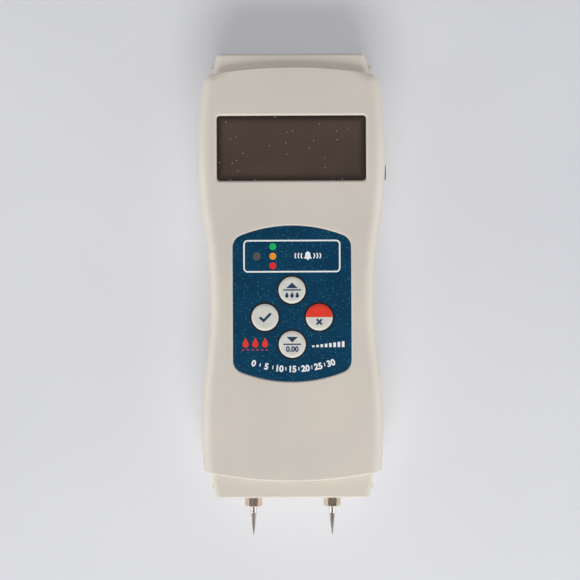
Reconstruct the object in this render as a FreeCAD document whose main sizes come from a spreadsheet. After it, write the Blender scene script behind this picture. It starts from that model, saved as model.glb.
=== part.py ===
"""Pin-type moisture meter: a two-shell handheld case, keypad, display, electronics, batteries and electrodes.

Row frame, in millimetres: the meter lies on its back, +Z out of its face, +Y to the display end,
-Y to the needle points, and the origin on the back face, about half way along the whole length.
Every driving dimension is a cell of the sheet Sizes, and the objects read those cells by expressions.
"""

import FreeCAD, Part
import math
import os
import re
import Sketcher

from FreeCAD import Rotation, Vector

# (alias, value, what it is)
SIZES = [
    ("case_height", 26.0, "case thickness, back face to front face"),
    ("parting_z", 12.5, "height of the joint between the two shells"),
    ("seam", 0.16, "gap between the shells at that joint"),
    ("wall", 2.0, "shell wall"),
    ("lip_deep", 1.2, "how far the front shell's lip reaches into the back shell"),
    ("fit", 0.05, "play round a piece that is fitted in another"),
    ("upper_y", 45.9, "widest station of the display end"),
    ("upper_half", 31.0, "half width there"),
    ("waist_y", -1.6, "narrowest station, at the grip"),
    ("waist_half", 27.1, "half width there"),
    ("waist_bend", 140.0, "radius of the hollow side at the grip"),
    ("lower_y", -44.0, "widest station of the needle end"),
    ("lower_half", 30.0, "half width there"),
    ("shoulder_y", 70.3, "where the shoulders of the display end start"),
    ("shoulder_bend", 4.8, "radius of those shoulders, in plan"),
    ("shoulder_turn", 48.0, "degrees through which they turn"),
    ("bar_low_y", -70.0, "lower end of the side outline, before the ends are trimmed"),
    ("top_y", 74.9, "crown of the bowed end at the display"),
    ("top_bend", 160.0, "its radius in plan"),
    ("bottom_y", -61.2, "crown of the bowed end at the needles"),
    ("bottom_bend", 135.0, "its radius in plan"),
    ("side_round", 4.6, "rounding of the long edges"),
    ("end_round", 0.45, "rounding of the end edges"),
    ("window_rim", 0.8, "rounding of the window's rim"),
    ("panel_rim", 0.4, "rounding of the rim round the keypad panel"),
    ("neck_step", 3.0, "depth of the necks below the case faces"),
    ("top_neck_y", 79.7, "end of the neck at the display end"),
    ("top_neck_root_y", 70.0, "its root, inside the case"),
    ("top_neck_root", 26.4, "its half width at the root"),
    ("top_neck_tip", 24.5, "its half width at the end"),
    ("top_neck_round", 2.5, "rounding of its long edges"),
    ("top_neck_edge", 1.0, "rounding of its end edges"),
    ("low_neck_y", -67.0, "end of the neck at the needles"),
    ("low_neck_root_y", -57.5, "its root, inside the case"),
    ("low_neck_root", 27.0, "its half width at the root"),
    ("low_neck_tip", 25.3, "its half width at the end"),
    ("low_neck_round", 1.8, "rounding of its long edges"),
    ("low_neck_edge", 0.6, "rounding of its end edges"),
    ("nub_radius", 0.8, "radius of the upright nubs that a cap snaps over"),
    ("nub_z", 13.2, "lower end of the nubs"),
    ("nub_tall", 4.0, "their height"),
    ("top_nub_x", 26.2, "nub centres on the display neck"),
    ("top_nub_y", 75.8, "their station"),
    ("low_nub_x", 26.3, "nub centres on the needle neck"),
    ("low_nub_y", -63.8, "their station"),
    ("window_y", 48.2, "centre of the display window"),
    ("window_wide", 49.1, "window opening across the case"),
    ("window_tall", 21.35, "window opening along the case"),
    ("window_corner", 1.0, "its corner radius"),
    ("window_seat", 1.4, "depth of the ledge that carries the lens"),
    ("window_ledge", 1.1, "width of that ledge"),
    ("lens_thick", 0.95, "lens thickness"),
    ("panel_half", 19.55, "half width of the recess for the keypad panel"),
    ("panel_top_y", 22.9, "crown of that recess at the top"),
    ("panel_low_y", -28.6, "crown of that recess at the bottom"),
    ("panel_bend", 46.0, "radius of its bowed ends"),
    ("panel_corner", 4.3, "its corner radius"),
    ("panel_recess", 0.5, "its depth"),
    ("panel_thick", 0.3, "panel thickness"),
    ("key_y", -7.3, "centre of the four keys"),
    ("key_pitch", 8.9, "distance of each key from that centre"),
    ("key_disc", 4.4, "radius of a key's disc"),
    ("key_hole", 4.55, "radius of its hole in the panel"),
    ("key_well_deep", 0.7, "depth of the well under the disc"),
    ("key_under_z", 25.4, "underside of a key's disc"),
    ("key_edge_z", 25.85, "top of a key's disc at its edge"),
    ("key_ridge", 3.35, "radius of the ridge on a key"),
    ("key_ridge_z", 26.2, "top of that ridge"),
    ("key_dish_z", 26.06, "middle of the key's dish"),
    ("key_crown_bend", 1.9, "radius of the slope outside the ridge"),
    ("stem_radius", 1.7, "radius of a key's stem"),
    ("stem_hole", 2.1, "hole for the stem in the wall"),
    ("stem_low_z", 22.0, "lower end of the stem, on the switch"),
    ("switch_side", 6.0, "side of a push switch"),
    ("switch_tall", 3.6, "height of its housing"),
    ("switch_bore", 1.75, "bore of its housing"),
    ("switch_floor", 1.7, "floor under that bore"),
    ("plunger_low_z", 19.4, "lower end of the switch plunger"),
    ("lamp_x", -11.5, "centre of the alarm lamp across the case"),
    ("lamp_y", 12.75, "centre of the alarm lamp along the case"),
    ("lamp_radius", 1.5, "radius of the lamp"),
    ("lamp_flange", 1.9, "radius of its flange"),
    ("lamp_top_z", 23.8, "top of its dome"),
    ("lamp_pane", 1.25, "radius of the smoked pane over the lamp"),
    ("lamp_hole", 1.0, "hole under that pane"),
    ("board_under_z", 15.4, "underside of the circuit board"),
    ("board_thick", 1.6, "its thickness"),
    ("board_head_half", 26.5, "half width of the board under the display"),
    ("board_half", 22.5, "half width of the rest of the board"),
    ("board_head_y", 32.5, "where the board narrows"),
    ("board_top_y", 62.3, "upper end of the board"),
    ("board_low_y", -54.0, "lower end of the board"),
    ("glass_wide", 52.4, "width of the display glass"),
    ("glass_tall", 26.6, "its height along the case"),
    ("glass_thick", 2.6, "its thickness"),
    ("gasket_thick", 0.5, "thickness of the gasket over the glass"),
    ("gasket_wide", 50.6, "width of the gasket"),
    ("gasket_tall", 24.4, "its height along the case"),
    ("gasket_bar", 1.3, "width of the gasket's bars"),
    ("frame_wide", 54.0, "width of the frame that carries the glass"),
    ("frame_tall", 28.2, "its height along the case"),
    ("frame_rise", 0.7, "how far the frame stands up round the glass"),
    ("frame_ledge", 1.1, "width of its ledge under the glass"),
    ("strip_wide", 2.0, "width of a contact strip under the glass"),
    ("strip_long", 46.0, "length of a contact strip"),
    ("post_radius", 2.8, "radius of a screw post"),
    ("top_post_x", 22.4, "posts at the display end"),
    ("top_post_y", 66.4, "their station"),
    ("low_post_x", 20.5, "posts in the needle neck"),
    ("low_post_y", -63.1, "their station"),
    ("case_screw_shank", 1.1, "radius of a case screw"),
    ("case_screw_head", 2.0, "radius of its head"),
    ("case_screw_tall", 1.6, "height of its head"),
    ("case_screw_tip_z", 19.0, "end of the case screws"),
    ("screw_sink", 3.0, "depth of a screw's counterbore"),
    ("screw_sink_radius", 2.25, "radius of that counterbore"),
    ("standoff_x", 19.6, "board standoffs"),
    ("standoff_high_y", 29.0, "upper standoffs"),
    ("standoff_low_y", -50.0, "lower standoffs"),
    ("standoff_radius", 2.1, "their radius"),
    ("board_screw_shank", 0.8, "radius of a board screw"),
    ("board_screw_head", 1.6, "radius of its head"),
    ("board_screw_tall", 1.1, "height of its head"),
    ("board_screw_tip_z", 21.0, "end of the board screws"),
    ("bay_half", 22.3, "half width of the battery bay"),
    ("bay_wall_half", 24.3, "half width over its walls"),
    ("bay_high_y", -6.0, "upper end of the bay"),
    ("bay_low_y", -55.3, "lower end of the bay"),
    ("bay_high_wall", 3.3, "wall at its upper end"),
    ("bay_low_wall", 1.5, "wall at its lower end"),
    ("bay_ceiling_z", 13.1, "ceiling of the bay"),
    ("bay_ceiling", 1.0, "thickness of that ceiling"),
    ("bay_sill_z", 5.0, "top of the sill between the bay and the case's end"),
    ("door_half", 22.0, "half width of the battery door"),
    ("door_high_y", -4.8, "upper edge of the door"),
    ("door_thick", 2.0, "its thickness"),
    ("door_gap", 0.1, "play round the door"),
    ("tongue_out", 1.15, "how far its tongues reach under the case"),
    ("tongue_low_z", 1.0, "lower side of the tongues"),
    ("tongue_start", 3.5, "where the side tongues start, from the door's outer end"),
    ("tongue_stop", 2.0, "where they stop, from its inner edge"),
    ("end_tongue", 30.0, "width of the tongue at its inner edge"),
    ("grip_y", -17.0, "middle of the door's thumb grip"),
    ("grip_long", 22.0, "width of that grip"),
    ("grip_pitch", 2.4, "distance from groove to groove"),
    ("grip_groove", 1.2, "width of a groove"),
    ("grip_deep", 0.5, "depth of a groove"),
    ("arrow_y", -30.0, "base of the arrow on the door"),
    ("arrow_half", 4.0, "half width of the arrow"),
    ("arrow_long", 6.0, "length of the arrow"),
    ("arrow_deep", 0.3, "depth of the arrow"),
    ("chip_x", -8.0, "centre of the main chip across the board"),
    ("chip_y", 24.0, "its station"),
    ("chip_side", 11.0, "side of its body"),
    ("chip_tall", 1.4, "height of its body"),
    ("leg_pitch", 1.0, "distance from leg to leg"),
    ("leg_wide", 0.35, "width of a leg"),
    ("leg_tall", 0.5, "height of a leg"),
    ("leg_out", 1.0, "how far the legs reach out"),
    ("can_x", 17.0, "centre of the round capacitors across the board"),
    ("can_radius", 2.5, "their radius"),
    ("can_tall", 6.0, "their height"),
    ("cell_radius", 5.2, "radius of an AAA cell"),
    ("cell_long", 44.5, "its length"),
    ("cell_pitch", 10.9, "distance from cell to cell"),
    ("cell_z", 7.75, "height of the cells' axes"),
    ("cell_edge", 0.7, "rounding of a cell's ends"),
    ("cell_button", 1.9, "radius of a cell's button"),
    ("cell_button_tall", 1.0, "height of that button"),
    ("contact_thick", 0.4, "thickness of the battery contacts"),
    ("contact_low_z", 3.2, "lower edge of the contacts"),
    ("contact_tall", 9.0, "their height"),
    ("contact_wide", 8.4, "width of a single contact"),
    ("tab_wide", 2.4, "width of a contact's solder tab"),
    ("coil_wire", 0.35, "wire radius of a contact spring"),
    ("coil_radius", 3.1, "radius of its widest turn"),
    ("coil_lean", 16.0, "degrees by which the spring narrows"),
    ("coil_long", 3.1, "length of the spring between the wire's ends"),
    ("coil_pitch", 1.03, "distance from turn to turn"),
    ("buzzer_x", 12.0, "buzzer centre"),
    ("buzzer_y", 21.0, "its station"),
    ("buzzer_radius", 6.0, "its radius"),
    ("buzzer_tall", 7.0, "its height"),
    ("buzzer_mouth", 1.0, "radius of its sound opening"),
    ("sound_hole", 0.8, "radius of a sound hole"),
    ("sound_ring", 3.2, "radius of the ring of sound holes"),
    ("jack_y", 41.0, "station of the probe socket"),
    ("jack_bore", 1.8, "bore of the socket, for a 3.5 mm plug"),
    ("jack_collar", 2.5, "radius of its collar"),
    ("jack_out_x", 31.6, "outer end of the collar"),
    ("jack_shoulder_x", 28.6, "where the collar leaves the socket body"),
    ("jack_in_x", 15.5, "inner end of the socket body"),
    ("jack_bore_x", 17.5, "inner end of its bore"),
    ("jack_wide", 6.8, "width of the socket body"),
    ("jack_low_z", 9.5, "its lower side"),
    ("pin_x", 13.2, "distance of each needle from the middle"),
    ("pin_radius", 1.0, "radius of a needle"),
    ("pin_shank", 1.25, "radius of its threaded shank"),
    ("pin_tip_y", -80.7, "needle points"),
    ("pin_tip", 0.12, "radius of a point"),
    ("pin_straight_y", -73.3, "end of a needle's straight part"),
    ("pin_point_bend", 140.0, "radius of the swelling of its point"),
    ("pin_shoulder_y", -67.3, "outer face of the sockets behind the nuts"),
    ("pin_in_y", -61.6, "inner end of the shanks"),
    ("nut_flats", 5.0, "nut size across its flats"),
    ("nut_tall", 3.6, "nut height"),
    ("nut_bevel", 0.4, "bevel of its corners"),
    ("nut_face", 2.35, "radius of its outer face"),
    ("ferrule", 2.5, "radius of the sockets behind the nuts"),
    ("ferrule_in_y", -60.6, "inner end of those sockets"),
    ("holder_half", 17.2, "half width of the insulating holder"),
    ("holder_low_z", 8.4, "its lower side"),
    ("holder_tall", 8.2, "its height"),
    ("holder_out_y", -64.5, "its outer side"),
    ("saddle_x", 8.0, "ribs that carry the holder"),
    ("saddle_wide", 3.0, "width of those ribs"),
    ("lead_radius", 0.45, "radius of an electrode lead"),
    ("lead_z", 14.75, "height of the leads over the battery bay"),
    ("lead_turn_y", -60.0, "where a lead turns up"),
    ("lead_level_y", -58.2, "where a lead is level again"),
    ("lead_end_y", -49.0, "where a lead meets the board"),
    ("lead_bend", 0.9, "radius of the two gentle bends"),
    ("lead_end_bend", 0.5, "radius of the last bend"),
]

UPPER_RISE = "(upper_y - waist_y)"
UPPER_SWELL = "(upper_half - waist_half)"
LOWER_RISE = "(waist_y - lower_y)"
LOWER_SWELL = "(lower_half - waist_half)"
# The sides are three arcs that touch, so the outer two radii follow from the stations and the middle radius.
UPPER_BEND = f"(({UPPER_RISE}^2 + {UPPER_SWELL}^2) / (2 * {UPPER_SWELL}) - waist_bend)"
LOWER_BEND = f"(({LOWER_RISE}^2 + {LOWER_SWELL}^2) / (2 * {LOWER_SWELL}) - waist_bend)"
BOARD_TOP = "(board_under_z + board_thick)"
FRONT_INSIDE = "(case_height - wall)"
RECESS_FLOOR = "(case_height - panel_recess)"
GLASS_TOP = f"({FRONT_INSIDE} - gasket_thick)"
GLASS_UNDER = f"({GLASS_TOP} - glass_thick)"
UPPER_PLATE = "(bay_high_y - contact_thick)"
LOWER_PLATE = "(bay_low_y + contact_thick)"
NUT_FACE_Y = "(pin_shoulder_y - nut_tall)"
FAR = 100  # reach of the solids that only cut
BOW_HALF = 40  # half width of the outline of the bowed ends, wider than the case
GRIPS = 5  # grooves in the door's thumb grip
CHIP_LEGS = 9  # legs on each side of the main chip
SINK = 0.5  # how far a post reaches into its wall, and a pilot hole past its screw
KEYS = {"up": (0, 1), "down": (0, -1), "set": (-1, 0), "esc": (1, 0)}
SIDES = {"left": -1, "right": 1}

doc = FreeCAD.newDocument("moisture_meter")
sheet = doc.addObject("Spreadsheet::Sheet", "Sizes")
for row, (alias, value, note) in enumerate(SIZES, 1):
    sheet.set(f"A{row}", note)
    sheet.set(f"B{row}", str(value))
    sheet.setAlias(f"B{row}", alias)
doc.recompute()
ALIASES = {alias for alias, _, _ in SIZES}
parts = []


def qualified(text):
    """The expression with each alias written as a cell of the sheet."""
    return re.sub(r"[a-z_]\w*", lambda m: f"Sizes.{m[0]}" if m[0] in ALIASES else m[0], str(text))


def size(text):
    """The expression's value now."""
    return float(sheet.evalExpression(qualified(text)))


def bind(thing, **values):
    """Ties properties to expressions. x, y and z stand for the object's place."""
    for key, text in values.items():
        name = f"Placement.Base.{key}" if key in "xyz" else key
        thing.setExpression(name, qualified(text))
    return thing


def part(thing, label):
    """Names a finished piece and puts it on the list that is written out."""
    thing.Label = label
    parts.append(thing)
    return thing


# ---- Part primitives and booleans ----------------------------------------------------------------

TURNS = {"z": Rotation(), "x": Rotation(Vector(0, 1, 0), 90), "y": Rotation(Vector(1, 0, 0), -90)}


def block(name, x, y, z, wide, deep, tall):
    """A box centred on x and y that stands on z."""
    solid = doc.addObject("Part::Box", name)
    bind(solid, Length=wide, Width=deep, Height=tall)
    return bind(solid, x=f"{x} - ({wide}) / 2", y=f"{y} - ({deep}) / 2", z=z)


def span(name, x, low_y, high_y, z, wide, tall):
    """A box centred on x that runs from low_y to high_y and stands on z."""
    solid = doc.addObject("Part::Box", name)
    bind(solid, Length=wide, Width=f"({high_y}) - ({low_y})", Height=tall)
    return bind(solid, x=f"{x} - ({wide}) / 2", y=low_y, z=z)


def rod(name, x, y, z, radius, length, axis="z"):
    """A cylinder that starts at x, y, z and runs along an axis."""
    solid = doc.addObject("Part::Cylinder", name)
    solid.Placement.Rotation = TURNS[axis]
    return bind(solid, Radius=radius, Height=length, x=x, y=y, z=z)


def join(name, *pieces):
    """One piece from several that touch or overlap."""
    solid = doc.addObject("Part::MultiFuse", name)
    solid.Shapes = list(pieces)
    solid.Refine = True
    return solid


def carve(name, base, *tools):
    """The base without the tools."""
    solid = doc.addObject("Part::Cut", name)
    solid.Base = base
    solid.Tool = tools[0] if len(tools) == 1 else join(name + "_tools", *tools)
    solid.Refine = True
    return solid


def common(name, base, tool):
    """What the two have in common."""
    solid = doc.addObject("Part::Common", name)
    solid.Base = base
    solid.Tool = tool
    solid.Refine = True
    return solid


def group(name, pieces):
    """Several separate solids as one node."""
    several = doc.addObject("Part::Compound", name)
    several.Links = list(pieces)
    return several


# ---- PartDesign bodies ---------------------------------------------------------------------------


def new_sketch(body, name, role="XY_Plane", lift="0"):
    """A sketch on one of the body's own planes, lifted along its normal."""
    sketch = body.newObject("Sketcher::SketchObject", name)
    sketch.AttachmentSupport = [(next(f for f in body.Origin.OriginFeatures if f.Role == role), "")]
    sketch.MapMode = "FlatFace"
    sketch.setExpression("AttachmentOffset.Base.z", qualified(lift))
    return sketch


def pin_point(sketch, geometry, end, x, y):
    """Ties a point of the sketch to its place."""
    for kind, axis, text in (("DistanceX", -2, str(x)), ("DistanceY", -1, str(y))):
        if text == "0":
            sketch.addConstraint(Sketcher.Constraint("PointOnObject", geometry, end, axis))
        else:
            at = sketch.addConstraint(Sketcher.Constraint(kind, -1, 1, geometry, end, size(text)))
            sketch.setExpression(f"Constraints[{at}]", qualified(text))


def pin_radius(sketch, geometry, radius):
    at = sketch.addConstraint(Sketcher.Constraint("Radius", geometry, size(radius)))
    sketch.setExpression(f"Constraints[{at}]", qualified(radius))


def arc_between(start, end, radius, turn):
    """The shorter arc from start to end, with its centre to the left for a turn of 1, to the right for -1."""
    chord = end - start
    inward = Vector(-chord.y, chord.x, 0).normalize() * turn
    centre = (start + end) / 2 + inward * math.sqrt(max(radius**2 - chord.Length**2 / 4, 0))
    first, last = (start, end) if turn > 0 else (end, start)
    angles = [math.atan2(p.y - centre.y, p.x - centre.x) for p in (first, last)]
    return Part.ArcOfCircle(Part.Circle(centre, Vector(0, 0, 1), radius), *angles)


def outline(sketch, steps, closed=True):
    """Straight runs to (x, y) and arcs to (x, y, radius, turn), each end tied to its place."""
    points = [Vector(size(step[0]), size(step[1]), 0) for step in steps]
    joints = []
    for i in range(0 if closed else 1, len(steps)):
        step = steps[i]
        if len(step) == 2:
            geometry = sketch.addGeometry(Part.LineSegment(points[i - 1], points[i]))
            ends = (1, 2)
        else:
            geometry = sketch.addGeometry(arc_between(points[i - 1], points[i], size(step[2]), step[3]))
            pin_radius(sketch, geometry, step[2])
            ends = (1, 2) if step[3] > 0 else (2, 1)
        joints.append((geometry, *ends))
        pin_point(sketch, geometry, ends[1], step[0], step[1])
    if not closed:
        pin_point(sketch, joints[0][0], joints[0][1], steps[0][0], steps[0][1])
    for i in range(0 if closed else 1, len(joints)):
        before = joints[i - 1]
        after = joints[i]
        sketch.addConstraint(Sketcher.Constraint("Coincident", before[0], before[2], after[0], after[1]))
    return sketch


def circle(sketch, x, y, radius):
    """A circle in the sketch, tied to its place and radius."""
    centre = Vector(size(x), size(y), 0)
    geometry = sketch.addGeometry(Part.Circle(centre, Vector(0, 0, 1), size(radius)))
    pin_radius(sketch, geometry, radius)
    pin_point(sketch, geometry, 3, x, y)


def edge_names(shape, test):
    return [f"Edge{i}" for i, edge in enumerate(shape.Edges, 1) if test(edge)]


def is_upright(edge):
    return max(edge.BoundBox.XLength, edge.BoundBox.YLength) < 1e-6


def round_edges(body, name, radius, test):
    """Rounds the edges of the body's shape that pass the test."""
    doc.recompute()
    base = body.Tip
    rounded = body.newObject("PartDesign::Fillet", name)
    rounded.Base = (base, edge_names(base.Shape, test))
    return bind(rounded, Radius=radius)


def slab(name, steps, low, tall, holes=(), corner=None):
    """A plate of an outline, with round holes and, if given, rounded corners."""
    body = doc.addObject("PartDesign::Body", name)
    sketch = outline(new_sketch(body, name + "_outline", lift=low), steps)
    for hole in holes:
        circle(sketch, *hole)
    pad = body.newObject("PartDesign::Pad", name + "_pad")
    pad.Profile = sketch
    bind(pad, Length=tall)
    if corner:
        round_edges(body, name + "_corners", corner, is_upright)
    return body


def rectangle(x, y, wide, deep):
    """The four corners of an upright rectangle about x, y."""
    corners = ((-1, -1), (1, -1), (1, 1), (-1, 1))
    return [(f"{x} + {a} * ({wide}) / 2", f"{y} + {b} * ({deep}) / 2") for a, b in corners]


def turned(name, steps, role="XZ_Plane"):
    """A body turned about its sketch's upright axis."""
    body = doc.addObject("PartDesign::Body", name)
    sketch = outline(new_sketch(body, name + "_profile", role), steps)
    turn = body.newObject("PartDesign::Revolution", name + "_turn")
    turn.Profile = sketch
    turn.ReferenceAxis = (sketch, ["V_Axis"])
    turn.Angle = 360
    return body


# ---- Case forms: the outer form, and the same form set in by a wall or a lip -----------------------


def side_steps(inset):
    """The plan outline from the meeting of the shoulder tangents, down the right side and up the left."""
    upper = f"({UPPER_BEND} - {inset})"
    waist = f"(waist_bend + {inset})"
    lower = f"({LOWER_BEND} - {inset})"
    shoulder = f"(shoulder_bend - {inset})"
    upper_x = f"(upper_half - {UPPER_BEND})"
    waist_x = "(waist_half + waist_bend)"
    lower_x = f"(lower_half - {LOWER_BEND})"
    start = f"asin((shoulder_y - upper_y) / {UPPER_BEND})"
    end = f"({start} + shoulder_turn * 1 deg)"
    shoulder_x = f"({upper_x} + ({UPPER_BEND} - shoulder_bend) * cos({start}))"
    shoulder_y = f"(upper_y + ({UPPER_BEND} - shoulder_bend) * sin({start}))"
    end_x = f"({shoulder_x} + {shoulder} * cos({end}))"
    end_y = f"({shoulder_y} + {shoulder} * sin({end}))"
    high = f"({upper} / ({UPPER_BEND} + waist_bend))"
    low = f"({lower} / ({LOWER_BEND} + waist_bend))"
    right = [
        (end_x, end_y, None),
        (f"{upper_x} + {upper} * cos({start})", f"upper_y + {upper} * sin({start})", shoulder),
        (f"{upper_x} + {high} * ({waist_x} - {upper_x})", f"upper_y - {high} * {UPPER_RISE}", upper),
        (f"{lower_x} + {low} * ({waist_x} - {lower_x})", f"lower_y + {low} * {LOWER_RISE}", waist),
        (f"{lower_x} + sqrt({lower}^2 - (bar_low_y - lower_y)^2)", "bar_low_y", lower),
    ]
    turns = [None, -1, -1, 1, -1]
    steps = [("0", f"{end_y} + {end_x} / tan({end})")]
    steps += [(x, y) if bend is None else (x, y, bend, turn) for (x, y, bend), turn in zip(right, turns)]
    # The left side is walked upwards, so an arc's radius goes with the point above it.
    steps.append((f"-({right[-1][0]})", "bar_low_y"))
    for below in range(len(right) - 1, 0, -1):
        x, y, _ = right[below - 1]
        steps.append((f"-({x})", y, right[below][2], turns[below]))
    return steps


def end_steps(inset):
    """The plan outline of the two bowed ends, wider than the case."""
    high = f"top_y - top_bend + sqrt((top_bend - {inset})^2 - {BOW_HALF}^2)"
    low = f"bottom_y + bottom_bend - sqrt((bottom_bend - {inset})^2 - {BOW_HALF}^2)"
    return [
        (BOW_HALF, high),
        (-BOW_HALF, high, f"top_bend - {inset}", 1),
        (-BOW_HALF, low),
        (BOW_HALF, low, f"bottom_bend - {inset}", 1),
    ]


def main_form(name, inset, rounded_ends):
    """The case between its necks: an outline with rounded long edges, trimmed to its bowed ends."""
    bar = slab(name + "_bar", side_steps(inset), inset, f"case_height - 2 * {inset}")
    long_edges = lambda e: not is_upright(e) and e.BoundBox.YLength > 1e-3
    round_edges(bar, name + "_sides", f"side_round - {inset}", long_edges)
    trim = bar.newObject("PartDesign::Pocket", name + "_trim")
    sketch = outline(new_sketch(bar, name + "_ends", lift="-1"), rectangle("0", "0", 2 * FAR, 3 * FAR))
    outline(sketch, end_steps(inset))
    trim.Profile = sketch
    trim.Type = "ThroughAll"
    trim.Reversed = True
    for end in ("top", "bottom") if rounded_ends else ():
        doc.recompute()
        face = next(f for f in bar.Tip.Shape.Faces if is_end_face(f, end))
        round_edges(bar, f"{name}_{end}_edge", "end_round", lambda e: any(e.isSame(x) for x in face.Edges))
    return bar


def is_end_face(face, end):
    box = face.BoundBox
    beyond = box.Center.y > size("upper_y") if end == "top" else box.Center.y < size("lower_y")
    return beyond and box.XLength > BOW_HALF and box.ZLength > size("case_height") / 2


def neck(name, end, inset):
    """A neck that a cap fits over: it tapers in plan from a root inside the case."""
    root_y = f"{end}_neck_root_y"
    tip_y = f"{end}_neck_y - {inset}" if end == "top" else f"{end}_neck_y + {inset}"
    root = f"{end}_neck_root - {inset}"
    tip = f"{end}_neck_tip - {inset}"
    steps = [(f"-({root})", root_y), (f"-({tip})", tip_y), (tip, tip_y), (root, root_y)]
    body = slab(name, steps, f"neck_step + {inset}", f"case_height - 2 * neck_step - 2 * {inset}")
    if inset == "0":
        far = size(tip_y)
        lengthwise = lambda e: not is_upright(e) and e.BoundBox.YLength > 1
        round_edges(body, name + "_edges", f"{end}_neck_round", lengthwise)
        outer = lambda e: e.BoundBox.YLength < 1e-3 and abs(e.BoundBox.Center.y - far) < 1e-3
        round_edges(body, name + "_end_edges", f"{end}_neck_edge", outer)
    return body


def form(name, inset):
    """The case with both necks, set in from its outside."""
    main = main_form(name + "_main", inset, inset == "0")
    return join(name, main, neck(name + "_top_neck", "top", inset), neck(name + "_low_neck", "low", inset))


def layer(name, low, high):
    """Everything between two heights."""
    return block(name, "0", "0", low, 2 * FAR, 2 * FAR, f"({high}) - ({low})")


outer_form = form("outer_form", "0")
inner_form = form("inner_form", "wall")
lip_form = form("lip_form", "(wall / 2 + fit)")
rebate_form = form("rebate_form", "(wall / 2)")

# ---- Places that repeat ----------------------------------------------------------------------------

POSTS = [(f"{a} * {end}_post_x", f"{end}_post_y", end) for end in ("top", "low") for a in (-1, 1)]
STANDOFFS = [(f"{a} * standoff_x", f"standoff_{end}_y") for end in ("high", "low") for a in (-1, 1)]
KEY_PLACES = {key: (f"{a} * key_pitch", f"key_y + {b} * key_pitch") for key, (a, b) in KEYS.items()}
PINS = {side: f"{a} * pin_x" for side, a in SIDES.items()}


def lens_outline(grow):
    return rectangle("0", "window_y", f"window_wide + 2 * ({grow})", f"window_tall + 2 * ({grow})")


def panel_steps(grow):
    """The keypad panel's outline: straight sides and bowed ends."""
    half = f"panel_half + ({grow})"
    bend = f"panel_bend + ({grow})"
    drop = "(panel_bend - sqrt(panel_bend^2 - panel_half^2))"
    high = f"panel_top_y - {drop} + ({grow})"
    low = f"panel_low_y + {drop} - ({grow})"
    return [(half, high), (f"-({half})", high, bend, 1), (f"-({half})", low), (half, low, bend, 1)]


# ---- Front case -------------------------------------------------------------------------------------


def opened_front():
    """The front half of the outer form with the window and the panel recess let into its face."""
    half = common("front_half", outer_form, layer("front_layer", "parting_z + seam / 2", "case_height + 1"))
    seat_z = "case_height - window_seat"
    opening = slab("window_opening", lens_outline("0"), seat_z, "2 * window_seat", corner="window_corner")
    ledge = slab("window_ledge_hole", lens_outline("-window_ledge"), "case_height - 2 * wall", "3 * wall")
    deep = "2 * panel_recess"
    recess = slab("panel_recess_hole", panel_steps("0"), RECESS_FLOOR, deep, corner="panel_corner")
    return carve("front_opened", half, opening, ledge, recess)


def soften_rims(base):
    """Rounds the rims of the window and of the panel recess at the front face."""
    body = doc.addObject("PartDesign::Body", "front_rims")
    body.BaseFeature = base
    face = size("case_height")
    for name, half, low, high in (
        ("window", "window_wide / 2", "window_y - window_tall", "window_y + window_tall"),
        ("panel", "panel_half", "panel_low_y - 1", "panel_top_y + 1"),
    ):
        reach = size(half) + 0.1

        def is_rim(edge):
            box = edge.BoundBox
            flat = min(box.ZMin, face) + 1e-4 > face
            across = -reach < box.XMin and box.XMax < reach
            return flat and across and size(low) < box.YMin and box.YMax < size(high)

        round_edges(body, f"{name}_rim_rounded", f"{name}_rim", is_rim)
    return body


def front_solids():
    """The front shell, the lip below it, its posts and standoffs, and the nubs that a cap snaps over."""
    lip = common("lip_layer", lip_form, layer("lip_heights", "parting_z - lip_deep", "parting_z + wall"))
    solids = [carve("front_shell", soften_rims(opened_front()), inner_form), carve("lip", lip, inner_form)]
    sunk = f"({FRONT_INSIDE} + {SINK})"
    for i, (x, y, end) in enumerate(POSTS):
        top = sunk if end == "top" else f"{sunk} - neck_step"
        solids.append(rod(f"front_post_{i}", x, y, "parting_z", "post_radius", f"{top} - parting_z"))
    for i, (x, y) in enumerate(STANDOFFS):
        solids.append(rod(f"standoff_{i}", x, y, BOARD_TOP, "standoff_radius", f"{sunk} - {BOARD_TOP}"))
    for side, a in SIDES.items():
        for end in ("top", "low"):
            x = f"{a} * {end}_nub_x"
            solids.append(rod(f"nub_{end}_{side}", x, f"{end}_nub_y", "nub_z", "nub_radius", "nub_tall"))
    return solids


def front_holes():
    """Holes for the lamp, the keys and their stems, and the screws' pilot holes."""
    holes = [rod("lamp_bore", "lamp_x", "lamp_y", "board_under_z", "lamp_hole", "case_height")]
    well_floor = f"{RECESS_FLOOR} - key_well_deep"
    for key, (x, y) in KEY_PLACES.items():
        holes.append(rod(f"key_well_{key}", x, y, well_floor, "key_hole", "2 * key_well_deep"))
        holes.append(rod(f"key_bore_{key}", x, y, f"{FRONT_INSIDE} - 1", "stem_hole", "2 * wall"))
    for i, (x, y, _) in enumerate(POSTS):
        deep = f"case_screw_tip_z + {SINK}"
        holes.append(rod(f"post_pilot_{i}", x, y, "0", "case_screw_shank + fit", deep))
    for i, (x, y) in enumerate(STANDOFFS):
        deep = f"board_screw_tip_z + {SINK}"
        holes.append(rod(f"standoff_pilot_{i}", x, y, "0", "board_screw_shank + fit", deep))
    return holes


def front_case():
    holes = front_holes() + shared_holes("front")
    part(carve("front_case", join("front_solids", *front_solids()), *holes), "front_case")


def shared_holes(shell):
    """The holes that the two shells share: for the probe socket and the electrode sockets."""
    clear = "jack_collar + 2 * fit"
    start = "jack_shoulder_x - wall"
    holes = [rod(f"{shell}_jack_hole", start, "jack_y", "parting_z", clear, "5 * wall", "x")]
    clear = "ferrule + 2 * fit"
    start = "low_neck_y - wall"
    for side, x in PINS.items():
        holes.append(rod(f"{shell}_pin_hole_{side}", x, start, "parting_z", clear, "3 * wall", "y"))
    return holes


front_case()

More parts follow.
